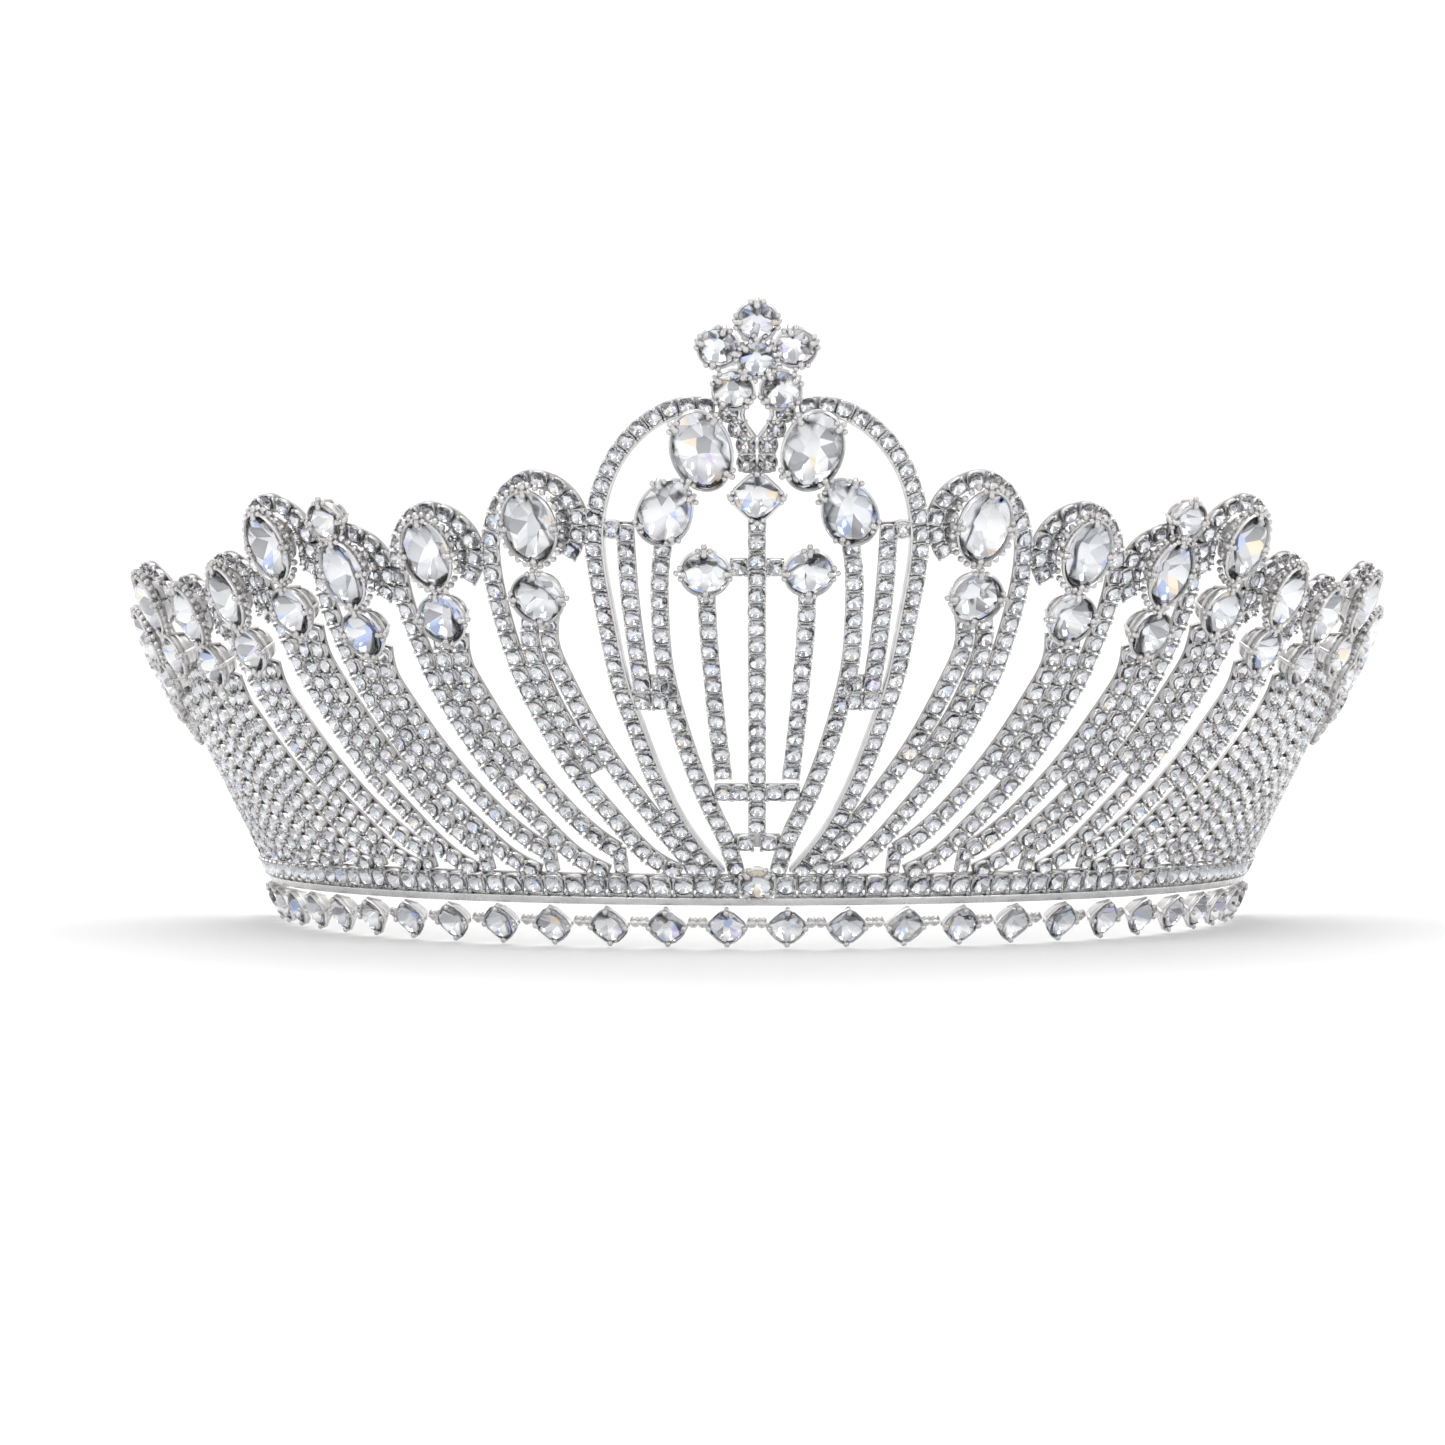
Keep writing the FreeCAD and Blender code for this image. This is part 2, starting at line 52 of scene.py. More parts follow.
# The wall that everything lies on: a cone that opens upwards. The rail ends level with the
# ring's centre, and the top of the band tells where the wall's foot is.
BASE_RADIUS = 70.0
WALL_FLARE = 0.49
LEAN = math.atan(WALL_FLARE)
BAND_HIGH = 7.2
RING_CENTRE_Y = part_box("base_rail")[1].y / MM
WALL_FOOT_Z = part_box("band_chain")[1].z / MM - BAND_HIGH

# Lowest row, rail and band
BAND_HALF_ANGLE = 90.0
BASE_ROW_HEIGHT = 0.8
BASE_PITCH_ANGLE = 6.2
BASE_STONES_PER_SIDE = 14
BASE_STONE_DIAMETER = 4.4
BASE_GEM_STRETCH = (1.06, 1.04)
BASE_SETTING_DIAGONAL = 5.9
LINK_LIFT = 0.9
LINK_OVERLAP = 0.5              # how far the link's bar runs into each setting
LINK_END_RADIUS = 0.34
LINK_RADIUS = 0.30
LINK_LOOP_AT = 0.62
LINK_LOOP_REACH = (0.44, 0.56)
LINK_LOOP_STEPS = 12
RAIL_LOW = 3.4
RAIL_HIGH = 4.4
RAIL_DEPTH = 1.7
BAND_LOW = 4.5
BAND_GAP_HALF_ANGLE = 1.75
BAND_CENTRE_DIAMETER = 4.2
BAND_CENTRE_HEIGHT = 6.5

# Cup chain
CUP_PITCH = 2.36
CUP_WIDTH = 2.3
CUP_LENGTH = 2.22
CUP_FLOOR = 0.35
CUP_MOUTH = 1.2
CHAIN_STONE = 2.18
CHAIN_BEAD = 0.26
CUP_SIDES = 16                  # points round a cup, and round a square setting
PRONG_INSET = (0.24, 0.22)
PRONG_RISE = 0.10
CHAIN_SPIN = 0.15
CHAIN_TILT = 6.0
BACKING_WIDTH = 2.0
BACKING_HEIGHT = 0.4
BACKING_BEVEL = 0.16
EDGE_WIDTH = 0.34
EDGE_HEIGHT = 1.25
EDGE_OFFSET = 1.03
EDGED_CUP_SHIFT = 0.12
EDGED_CUP_SHARE = 0.94
BAND_SHARE = 1.22               # cups of the band beside those of the strands
FILL_SHARE = 0.7                # and of the short strands beside the side ovals

# Side motifs, drawn once at full height as (degrees outwards from the foot, height)
MOTIF_TOPS = [57.9, 54.4, 52.0, 56.3, 49.3, 46.7, 49.0, 44.0, 40.0, 35.0]
FIRST_FOOT_ANGLE = 8.2
FOOT_PITCH_ANGLE = 7.4
LOOP_LEANS = [0.0, 1.5, 2.4, 1.8, 2.4, 3.0, 3.6, 4.2, 4.8, 5.4]
FOOT_HEIGHT = 7.0
POST_SHARE = 0.82
POST_TOP = 10.4
POST_LAG_ANGLE = 2.0
FULL_TOP = 57.0

# Each strand of a motif: angle from the motif's foot, height
OUTER_STRAND = [(-0.6, 7.2), (2.3, 9.4), (4.7, 13.0), (6.4, 16.0), (8.5, 20.2), (10.4, 26.0), (11.8, 32.0),
                (12.5, 39.0), (12.5, 46.0), (11.1, 52.3), (8.0, 55.8), (5.5, 53.6), (5.0, 49.8), (6.2, 46.6)]
MIDDLE_STRAND = [(10.0, 39.8), (10.5, 36.4), (10.15, 32.3), (8.95, 27.0), (7.6, 23.2), (6.4, 20.3)]
INNER_STRAND = [(8.3, 39.8), (8.8, 36.0), (8.2, 32.3), (7.1, 27.9), (5.5, 22.9), (3.2, 17.6), (1.1, 13.9),
                (-0.5, 11.8), (-2.0, 10.3)]
FIRST_INNER_STRAND = INNER_STRAND[:6] + [(1.1, 13.5), (-0.4, 10.9), (-2.3, 7.2)]
FILL_STRAND = [(6.5, 53.5), (6.1, 50.5), (6.7, 47.4)]
MOTIF_OVAL_AT = (8.3, 51.0)
MOTIF_ROUND_AT = (8.6, 42.6)
MOTIF_OVAL_LENGTH = 9.2
MOTIF_OVAL_WIDTH = 6.6
MOTIF_ROUND_DIAMETER = 6.4
SPRAY_STONE_AT = (33.8, 52.9)
SPRAY_DIAMETER = 5.0

# Crest strands: mm to one side of the centre line, height
ARCH_STRAND = [(5.0, 7.1), (7.3, 9.8), (9.4, 12.7), (11.7, 17.0), (13.7, 21.7), (15.4, 26.4), (16.9, 30.8),
               (18.1, 36.2), (19.1, 41.8), (19.8, 46.4), (19.9, 50.6), (18.6, 56.2), (15.7, 60.8),
               (12.0, 63.7), (8.5, 64.8), (5.0, 64.6)]
SHORT_STRAND = [(16.1, 51.2), (15.9, 46.4), (15.6, 41.8), (15.1, 37.2), (14.5, 32.6)]
PEAR_STRAND = [(11.3, 49.4), (11.9, 44.5), (11.9, 40.2), (11.5, 34.0), (10.2, 28.2), (8.2, 21.7), (6.0, 16.2),
               (3.8, 11.4), (2.5, 7.1)]
INNER_CREST_STRAND = [(6.2, 43.4), (5.9, 37.0), (5.3, 30.0), (4.7, 24.0), (4.2, 19.6)]
CENTRE_STRAND = [(0.0, 52.0), (0.0, 38.0), (0.0, 24.0), (0.0, 12.6)]
CREST_OVAL_AT = (6.5, 60.6)
CREST_OVAL_LENGTH = 10.0
CREST_OVAL_WIDTH = 7.0
CREST_OVAL_TURN = 12.0
PEAR_AT = (10.8, 53.4)
PEAR_LENGTH = 8.8
PEAR_WIDTH = 6.2
PEAR_TURN = -26.0
SQUARE_AT = (0.0, 54.9)
SQUARE_SIDE = 5.5
CREST_ROUND_AT = (6.2, 46.0)
CREST_ROUND_DIAMETER = 5.8
CREST_TIE_HEIGHT = 45.9
CREST_ROW_HEIGHT = 17.9
CREST_FOOT_HEIGHT = 11.4
CREST_FOOT_REACH = 2.9
CREST_BLOCK_AT = (13.2, 30.6)
CREST_LINKS_AT = [(3.3, 64.1), (2.2, 62.3), (1.25, 60.4), (1.2, 58.3), (17.8, 50.6)]
CREST_LINK_DIAMETER = 2.0
CREST_LINK_CLAW_RADIUS = 0.28
CREST_LINK_GEM_SHARE = 1.1
BLOCK_ROW_OFFSET = 1.1
BLOCK_HALF_LENGTH = 2.35
OPENING_EDGE = [(0.3, 66.5), (1.2, 65.3), (1.75, 63.9), (1.1, 62.4), (0.2, 61.2)]
OPENING_WIRE_RADIUS = 0.30
OPENING_WIRE_LIFT = 0.9
FLOWER_HEIGHT = 70.6
FLOWER_RADIUS = 4.75
PETAL_COUNT = 5
PETAL_STONE_DIAMETER = 4.7
FLOWER_CENTRE_DIAMETER = 4.4

# Stones: depths as shares of the stone's width, tilts in degrees
SEAT_DEPTH = 0.5
CROWN_SHARE = 0.16
PAVILION_SHARE = 0.35
GIRDLE_SHARE = 0.015
PAVILION_BREAK = (0.62, 0.45)   # where its two tiers meet: share of the width, share of the depth
PAVILION_END = (0.26, 0.86)     # where the lower tier stops
GEM_SIDES = 8
GEM_UNEVEN = 0.14
GEM_TILT = 4.0
CREST_TILT = 3.0
PETAL_TILT = 5.0

# Settings
TUBE_SIDES = 8
COLLAR_SIDES = 32
COLLAR_WALL = 0.33
CLAW_RADIUS = 0.45
CLAW_RISE = 0.45
CLAW_TAPER = (0.55, 0.62, 0.73, 0.80, 0.70)
CLAW_BULGE = (0.22, 0.30)       # out past the girdle, up from it
CLAW_GRIP = 0.28                # how far a tip reaches in over the stone
SIDE_BEAD_AT = (0.12, 1.65, 0.16)   # out past the girdle, aside in claw radii, up from it
SIDE_BEAD_SHARE = 0.85
OUTER_BEAD_AT = (0.62, 0.05)    # out past the girdle, up from it
OUTER_BEAD_SHARE = 0.9
BOX_SQUARENESS = 5.0
CORNER_CLAW_RADII = [0.24, 0.34, 0.32]
CORNER_CLAW_SHARES = (0.5, 0.93)    # reach of its foot and of its tip beside its shoulder
CORNER_BEAD_AT = (0.86, 0.66, 0.1)  # share of the claw's reach, mm aside, mm above the girdle
CORNER_BEAD_SHARE = 0.72
HALO_BEAD = 0.46
HALO_OFFSET = 0.72
OVAL_HALO_COUNT = 26
FLOWER_HALO_COUNT = 15

# The camera, in mm from the middle of the ring, and the studio, in metres
CAMERA_BACK = 478.0
CAMERA_HEIGHT = 28.0
CAMERA_LENS = 78.05
CAMERA_SHIFT = (-0.0239, -0.0087)
FLOOR_REACH = 3.0
FLOOR_BACK = 1.6
FLOOR_CURVE = 0.5
FLOOR_CURVE_STEPS = 8
BACKDROP_TOP = 3.0

# Material slots of a shape
METAL, GLASS, FOIL = 0, 1, 2

# Tones, as linear colours that the materials multiply in: painted shade on the metal, full on ridges and
# tops, darker on sides, in recesses and between cups
BRIGHT = (1.0, 1.0, 1.0)
SIDE_SHADE = (0.88, 0.87, 0.865)
SHADE = (0.78, 0.77, 0.77)
RECESS_SHADE = (0.72, 0.71, 0.71)
GAP_SHADE = (0.74, 0.73, 0.73)
# The foil tones are painted reflections: white, grey and dark facets, with a few blue, warm and violet
# glints. The weights say how often each is picked.
FOIL_REFLECTION_TONES = [(1.0, 1.0, 1.0), (0.90, 0.905, 0.92), (0.74, 0.75, 0.77), (0.46, 0.465, 0.48),
              (0.60, 0.70, 0.99), (1.0, 0.88, 0.70), (0.80, 0.72, 0.97)]
BIG_WEIGHTS = [0.36, 0.25, 0.20, 0.10, 0.05, 0.02, 0.02]
CHAIN_WEIGHTS = [0.10, 0.32, 0.46, 0.09, 0.01, 0.01, 0.01]


# The wall

def wall_frame(angle, height, lift=0.0, turn=0.0):
    """Origin and the three directions (side, up, out) of a piece that lies on the wall."""
    swing = math.radians(angle)
    radius = BASE_RADIUS + WALL_FLARE * height
    level = math.cos(LEAN)
    side = np.array([math.cos(swing), math.sin(swing), 0.0])
    out = np.array([level * math.sin(swing), -level * math.cos(swing), -math.sin(LEAN)])
    up = np.cross(out, side)
    spot = np.array([radius * math.sin(swing), -radius * math.cos(swing), height])
    spot = spot + out * lift + np.array([0.0, RING_CENTRE_Y, WALL_FOOT_Z])
    spin = math.radians(turn)
    turned_side = side * math.cos(spin) + up * math.sin(spin)
    turned_up = up * math.cos(spin) - side * math.sin(spin)
    return spot, np.array([turned_side, turned_up, out])


def beside_centre(offset, height):
    """Angle of a point that lies offset mm to one side of the centre line."""
    return math.degrees(offset / (BASE_RADIUS + WALL_FLARE * height))


def foot_angle(number):
    return FIRST_FOOT_ANGLE + FOOT_PITCH_ANGLE * (number - 1)


def height_share(number):
    return (MOTIF_TOPS[number - 1] - FOOT_HEIGHT) / (FULL_TOP - FOOT_HEIGHT)


def stone_share(number):
    return (1.0 + height_share(number)) / 2


def in_motif(number, across, height):
    """Angle and height on the wall of a point drawn for a full-height motif."""
    rise = (height - FOOT_HEIGHT) / (FULL_TOP - FOOT_HEIGHT)
    extra_lean = LOOP_LEANS[number - 1]
    angle = foot_angle(number) + across + extra_lean * rise
    return angle, FOOT_HEIGHT + (height - FOOT_HEIGHT) * height_share(number)


def motif_path(number, side, points):
    placed = [in_motif(number, across, height) for across, height in points]
    return [(side * angle, height) for angle, height in placed]


def crest_path(side, points):
    return [(side * beside_centre(offset, height), height) for offset, height in points]


class Path:
    """A smooth curve on the wall through given (angle, height) points, walked by length."""

    STEPS = 24

    def __init__(self, points):
        scale = math.radians(BASE_RADIUS + WALL_FLARE * FULL_TOP / 2)
        flat = np.array([(angle * scale, height) for angle, height in points])
        fine = self.natural_spline(flat)
        self.places = np.column_stack([fine[:, 0] / scale, fine[:, 1]])
        spots = np.array([wall_frame(a, h)[0] for a, h in self.places])
        steps = np.linalg.norm(np.diff(spots, axis=0), axis=1)
        self.run = np.concatenate([[0.0], np.cumsum(steps)])
        self.length = self.run[-1]

    def natural_spline(self, flat):
        gaps = np.linalg.norm(np.diff(flat, axis=0), axis=1)
        count = len(flat)
        system = np.eye(count)
        target = np.zeros((count, 2))
        for i in range(1, count - 1):
            system[i, i - 1:i + 2] = gaps[i - 1], 2 * (gaps[i - 1] + gaps[i]), gaps[i]
            slope_out = (flat[i + 1] - flat[i]) / gaps[i]
            slope_in = (flat[i] - flat[i - 1]) / gaps[i - 1]
            target[i] = 6 * (slope_out - slope_in)
        bend = np.linalg.solve(system, target)
        fine = [flat[0]]
        for i, gap in enumerate(gaps):
            for step in range(1, self.STEPS + 1):
                b = step / self.STEPS
                a = 1 - b
                chord = a * flat[i] + b * flat[i + 1]
                sag = ((a ** 3 - a) * bend[i] + (b ** 3 - b) * bend[i + 1]) * gap ** 2 / 6
                fine.append(chord + sag)
        return np.array(fine)

    def spot(self, run, lift=0.0):
        angle = np.interp(run, self.run, self.places[:, 0])
        height = np.interp(run, self.run, self.places[:, 1])
        return wall_frame(angle, height, lift)

    def frame(self, run, lift=0.0, aside=0.0):
        """Origin and (across, along, out) at a length along the path."""
        reach = 0.3
        origin, wall = self.spot(run, lift)
        ahead = self.spot(min(run + reach, self.length))[0]
        behind = self.spot(max(run - reach, 0.0))[0]
        out = wall[2]
        along = ahead - behind
        along = along - out * along.dot(out)
        along = along / np.linalg.norm(along)
        across = np.cross(along, out)
        return origin + across * aside, np.array([across, along, out])


# Building shapes

class Shape:
    """Points in mm, faces, and for each face a tone (painted shade or painted reflection), a material slot
    and whether it is smooth.
    """

    def __init__(self):
        self.points = []
        self.faces = []
        self.tones = []
        self.slots = []
        self.smooth = []

    def add(self, points, faces, tone=BRIGHT, slot=METAL, smooth=True, base=None):
        base = len(self.points) if base is None else base
        self.points.extend(points)
        self.faces.extend([tuple(base + i for i in face) for face in faces])
        self.tones.extend([tone] * len(faces))
        self.slots.extend([slot] * len(faces))
        self.smooth.extend([smooth] * len(faces))

    def merge(self, other, place, tones=None):
        """Adds another shape, set at (origin, directions)."""
        points = np.asarray(other.points, float) @ place[1] + place[0]
        base = len(self.points)
        self.points.extend(points)
        self.faces.extend([tuple(base + i for i in face) for face in other.faces])
        self.tones.extend(other.tones if tones is None else tones)
        self.slots.extend(other.slots)
        self.smooth.extend(other.smooth)

    def finish(self, name, slot, nodes):
        """Makes the Blender object, in metres, and hands it to the frame."""
        mesh = bpy.data.meshes.new(name)
        mesh.from_pydata(np.asarray(self.points) * MM, [], self.faces)
        # The tone attribute carries the painted shade and painted reflections into the materials.
        tone = mesh.attributes.new("tone", "FLOAT_COLOR", "FACE")
        colours = np.ones((len(self.faces), 4), np.float32)
        colours[:, :3] = self.tones
        tone.data.foreach_set("color", colours.ravel())
        used = sorted(set(self.slots))
        for index in used:
            mesh.materials.append(MATERIALS[index])
        mesh.polygons.foreach_set("material_index", [used.index(s) for s in self.slots])
        mesh.polygons.foreach_set("use_smooth", self.smooth)
        mesh.set_sharp_from_angle(angle=math.radians(42))
        mesh.update()
        piece = bpy.data.objects.new(name, mesh)
        bpy.context.scene.collection.objects.link(piece)
        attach(piece, "root")
        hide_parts(*nodes)


def row_faces(low, high, count):
    """Quads between two rings of points that start at low and at high."""
    return [(low + i, low + (i + 1) % count, high + (i + 1) % count, high + i) for i in range(count)]


def ring_faces(rings, count):
    """Quads between rings of the same number of points, stacked in order."""
    faces = []
    for ring in range(rings - 1):
        faces.extend(row_faces(ring * count, (ring + 1) * count, count))
    return faces


def add_rings(shape, points, count, tones):
    """Stacked rings with a tone for each row of quads. A tone for the last ring joins it to the first."""
    base = len(shape.points)
    shape.add(points, [])
    for row, tone in enumerate(tones):
        faces = row_faces(row * count, (row + 1) * count % len(points), count)
        shape.add([], faces, tone, base=base)


def ball(shape, centre, radius, tone=BRIGHT, sides=8, rings=5, flat=1.0):
    """A small bead."""
    points = [(centre[0], centre[1], centre[2] - radius * flat)]
    for ring in range(1, rings):
        polar = math.pi * ring / rings
        level = centre[2] - radius * flat * math.cos(polar)
        reach = radius * math.sin(polar)
        for i in range(sides):
            turn = 2 * math.pi * i / sides
            points.append((centre[0] + reach * math.cos(turn), centre[1] + reach * math.sin(turn), level))
    points.append((centre[0], centre[1], centre[2] + radius * flat))
    faces = [tuple(1 + i for i in f) for f in ring_faces(rings - 1, sides)]
    top = 1 + sides * (rings - 2)
    for i in range(sides):
        j = (i + 1) % sides
        faces.append((0, 1 + j, 1 + i))
        faces.append((len(points) - 1, top + i, top + j))
    shape.add(points, faces, tone)


def sweep(shape, places, section, tone):
    """A bar of one section, given as (across, out) points, through a row of places."""
    count = len(section)
    flat = np.array([(x, 0.0, z) for x, z in section])
    points = []
    for origin, axes in places:
        points.extend(flat @ axes + origin)
    faces = [tuple(reversed(f)) for f in ring_faces(len(places), count)]
    end = len(points) - count
    faces.append(tuple(range(count)))
    faces.append(tuple(reversed(range(end, end + count))))
    shape.add(points, faces, tone)


def rounded_bar(width, height, bevel):
    """Section of a bar with eased edges, counter-clockwise seen along the strand."""
    half = width / 2
    corners = [(half, 0.0, -90), (half, height, 0), (-half, height, 90), (-half, 0.0, 180)]
    outline = []
    for x, z, start in corners:
        centre_x = x - math.copysign(bevel, x)
        centre_z = z + bevel if z == 0.0 else z - bevel
        for step in range(4):
            turn = math.radians(start + 30 * step)
            outline.append((centre_x + bevel * math.cos(turn), centre_z + bevel * math.sin(turn)))
    return outline


def tube(shape, centres, radii, tone=BRIGHT):
    """A round wire through points, with its own radius at each."""
    centres = np.asarray(centres, float)
    points = []
    guide = np.array([0.31, 0.17, 0.93])
    for i, centre in enumerate(centres):
        ahead = centres[min(i + 1, len(centres) - 1)]
        behind = centres[max(i - 1, 0)]
        along = (ahead - behind) / np.linalg.norm(ahead - behind)
        first = guide - along * guide.dot(along)
        first = first / np.linalg.norm(first)
        guide = first
        second = np.cross(along, first)
        for k in range(TUBE_SIDES):
            turn = 2 * math.pi * k / TUBE_SIDES
            points.append(centre + radii[i] * (first * math.cos(turn) + second * math.sin(turn)))
    faces = ring_faces(len(centres), TUBE_SIDES)
    faces.append(tuple(reversed(range(TUBE_SIDES))))
    faces.append(tuple(range(len(points) - TUBE_SIDES, len(points))))
    shape.add(points, faces, tone)


# Stones

def outline_point(turn, square):
    """A point of a unit outline: a circle at square 2, nearer a square above that."""
    x, y = math.cos(turn), math.sin(turn)
    reach = (abs(x) ** square + abs(y) ** square) ** (-1.0 / square)
    return reach * x, reach * y


def facets(top, star, girdle, belt, high, low):
    """Crown and foil faces of a stone, given where each of its six rings of points starts."""
    sides = GEM_SIDES
    crown = [tuple(range(top, top + sides))]
    foil = [tuple(reversed(range(low, low + sides)))]
    for k in range(sides):
        after = (k + 1) % sides
        before = (k - 1) % sides
        here, mid, then = 2 * k, 2 * k + 1, (2 * k + 2) % (2 * sides)
        crown.append((top + k, star + k, top + after))
        crown.append((top + k, star + before, girdle + here, star + k))
        crown.append((star + k, girdle + here, girdle + mid))
        crown.append((star + k, girdle + mid, girdle + then))
        foil.append((girdle + here, belt + here, belt + mid, girdle + mid))
        foil.append((girdle + mid, belt + mid, belt + then, girdle + then))
        foil.append((low + k, high + k, belt + here, high + before))
        foil.append((low + k, low + after, high + k))
        foil.append((high + k, belt + mid, belt + here))
        foil.append((high + k, belt + then, belt + mid))
    return crown, foil


def brilliant(length, width, square=2.0, turn=0.0, taper=0.0, uneven=GEM_UNEVEN, table=0.54):
    """A faceted stone, its girdle at the seat: clear crown, foil-backed pavilion in two tiers."""
    sides = GEM_SIDES
    half = width / 2
    crown = 2 * CROWN_SHARE
    depth = 2 * PAVILION_SHARE
    star = (table + 1) / 2 + 0.01
    star_level = crown * (1 - (star * math.cos(math.pi / sides) - table) / (1 - table))
    points = []

    def ring(share, level, count, start, jitter=0.0):
        for i in range(count):
            angle = 2 * math.pi * (i + start) / count + rng.uniform(-1.2, 1.2) * jitter
            reach = share * (1 + rng.uniform(-1, 1) * jitter)
            x, y = outline_point(angle + math.radians(turn), square)
            y = y * length / width
            x = x * (1 - taper * y * reach)
            points.append((half * reach * x, half * reach * y, SEAT_DEPTH * width + half * level))
        return len(points) - count

    starts = [ring(table, crown, sides, 0.0, uneven * 0.5),
              ring(star, star_level, sides, 0.5, uneven * 0.3),
              ring(1.0, 0.0, 2 * sides, 0.0),
              ring(1.0, -2 * GIRDLE_SHARE, 2 * sides, 0.0),
              ring(PAVILION_BREAK[0], -PAVILION_BREAK[1] * depth, sides, 0.5, uneven),
              ring(PAVILION_END[0], -PAVILION_END[1] * depth, sides, 0.0, uneven * 2)]
    crown_faces, foil_faces = facets(*starts)
    shape = Shape()
    shape.add(points, crown_faces, slot=GLASS, smooth=False)
    shape.add([], foil_faces, slot=FOIL, smooth=False, base=0)
    return shape


def sparkle(stone, weights=BIG_WEIGHTS):
    """Painted reflections for a stone's foil facets, random for each facet: mostly bright, some dark, a few
    with coloured glints.
    """
    tones = []
    for slot in stone.slots:
        if slot == FOIL:
            shade = rng.choices(FOIL_REFLECTION_TONES, weights)[0]
            level = rng.uniform(0.88, 1.0)
            tones.append(tuple(level * c for c in shade))
        else:
            tones.append(BRIGHT)
    return tones


def tilted(place, degrees):
    """The same place, tipped a little about a random line, as a hand-set stone is."""
    origin, axes = place
    heading = rng.uniform(0, 2 * math.pi)
    tip = math.radians(rng.uniform(0, degrees))
    lean = axes[0] * math.cos(heading) + axes[1] * math.sin(heading)
    out = axes[2] * math.cos(tip) + lean * math.sin(tip)
    side = axes[0] - out * axes[0].dot(out)
    side = side / np.linalg.norm(side)
    return origin, np.array([side, np.cross(out, side), out])


# Settings

def collar(shape, length, width, taper):
    """An open tapered cup with a foot ring, a gallery ridge and a rolled mouth.

    Its profile is (share of the stone's width, mm further out, share of the seat's height, tone), the tone
    being painted shade: full on the ridges, darker on the walls, darkest in the grooves and inside.
    """
    seat = SEAT_DEPTH * width
    profile = [(0.50, 0.10, 0.00, RECESS_SHADE), (0.52, 0.34, 0.00, SIDE_SHADE), (0.55, 0.44, 0.05, BRIGHT),
               (0.58, 0.44, 0.16, BRIGHT), (0.60, 0.26, 0.22, RECESS_SHADE), (0.74, 0.22, 0.50, SIDE_SHADE),
               (0.77, 0.38, 0.55, BRIGHT), (0.81, 0.40, 0.66, BRIGHT), (0.83, 0.22, 0.72, RECESS_SHADE),
               (0.96, 0.20, 0.90, SIDE_SHADE), (1.00, COLLAR_WALL, 0.96, BRIGHT),
               (1.00, COLLAR_WALL, 1.06, BRIGHT), (1.00, 0.12, 1.12, BRIGHT),
               (0.99, 0.01, 1.06, SIDE_SHADE), (0.97, 0.00, 0.92, RECESS_SHADE), (0.50, 0.10, 0.00, RECESS_SHADE)]
    points = []
    for share, offset, level, _ in profile:
        for i in range(COLLAR_SIDES):
            x, y = outline_point(2 * math.pi * i / COLLAR_SIDES, 2.0)
            stretch = length / 2 * share + offset
            x = x * (1 - taper * y * length / width * share)
            points.append((x * (width / 2 * share + offset), y * stretch, level * seat))
    add_rings(shape, points, COLLAR_SIDES, [row[3] for row in profile[1:]])


def claw(shape, length, width, angle, beads, radius):
    """A wire that climbs the collar and grips the stone, with side beads at its tip."""
    seat = SEAT_DEPTH * width
    x, y = math.cos(angle), math.sin(angle)
    size = math.hypot(x * width, y * length) / 2
    heading = np.array([x * width / 2, y * length / 2]) / size
    route = [(0.60, 0.42, 0.12), (0.80, 0.40, 0.60), (1.00, 0.34, 0.98)]
    centres = []
    for share, offset, level in route:
        reach = size * share + offset
        centres.append((heading[0] * reach, heading[1] * reach, level * seat))
    bulge_reach, tip_reach = size + CLAW_BULGE[0], size - CLAW_GRIP
    centres.append((heading[0] * bulge_reach, heading[1] * bulge_reach, seat + CLAW_BULGE[1]))
    centres.append((heading[0] * tip_reach, heading[1] * tip_reach, seat + CLAW_RISE))
    # The claw wire and its beads take the painted side shade.
    tube(shape, centres, [radius * share for share in CLAW_TAPER], SIDE_SHADE)
    ball(shape, centres[-1], radius, SIDE_SHADE, flat=0.8)
    if beads > 1:
        beside = np.array([-heading[1], heading[0]])
        for hand in (-1, 1):
            spot = heading * (size + SIDE_BEAD_AT[0]) + beside * hand * radius * SIDE_BEAD_AT[1]
            ball(shape, (spot[0], spot[1], seat + SIDE_BEAD_AT[2]), radius * SIDE_BEAD_SHARE, SIDE_SHADE)
    if beads > 3:
        spot = heading * (size + OUTER_BEAD_AT[0])
        ball(shape, (spot[0], spot[1], seat + OUTER_BEAD_AT[1]), radius * OUTER_BEAD_SHARE, SIDE_SHADE)


def claw_setting(length, width, taper=0.0, beads=1, start=0.5, radius=CLAW_RADIUS):
    """An oval, round or pear-shaped setting with four claws."""
    shape = Shape()
    collar(shape, length, width, taper)
    for index in range(4):
        claw(shape, length, width, math.pi / 2 * (index + start), beads, radius)
    return shape


def bead_halo(shape, length, width, count):
    """Beads soldered round the outside of a collar, just below its mouth."""
    for index in range(count):
        x, y = outline_point(2 * math.pi * index / count, 2.0)
        spot = (x * (width / 2 + HALO_OFFSET), y * (length / 2 + HALO_OFFSET), SEAT_DEPTH * width * 0.86)
        # Each bead takes the full tone or one of the painted shade levels, picked at random.
        ball(shape, spot, HALO_BEAD, rng.choice([BRIGHT, SIDE_SHADE, SHADE]), sides=7, rings=4)


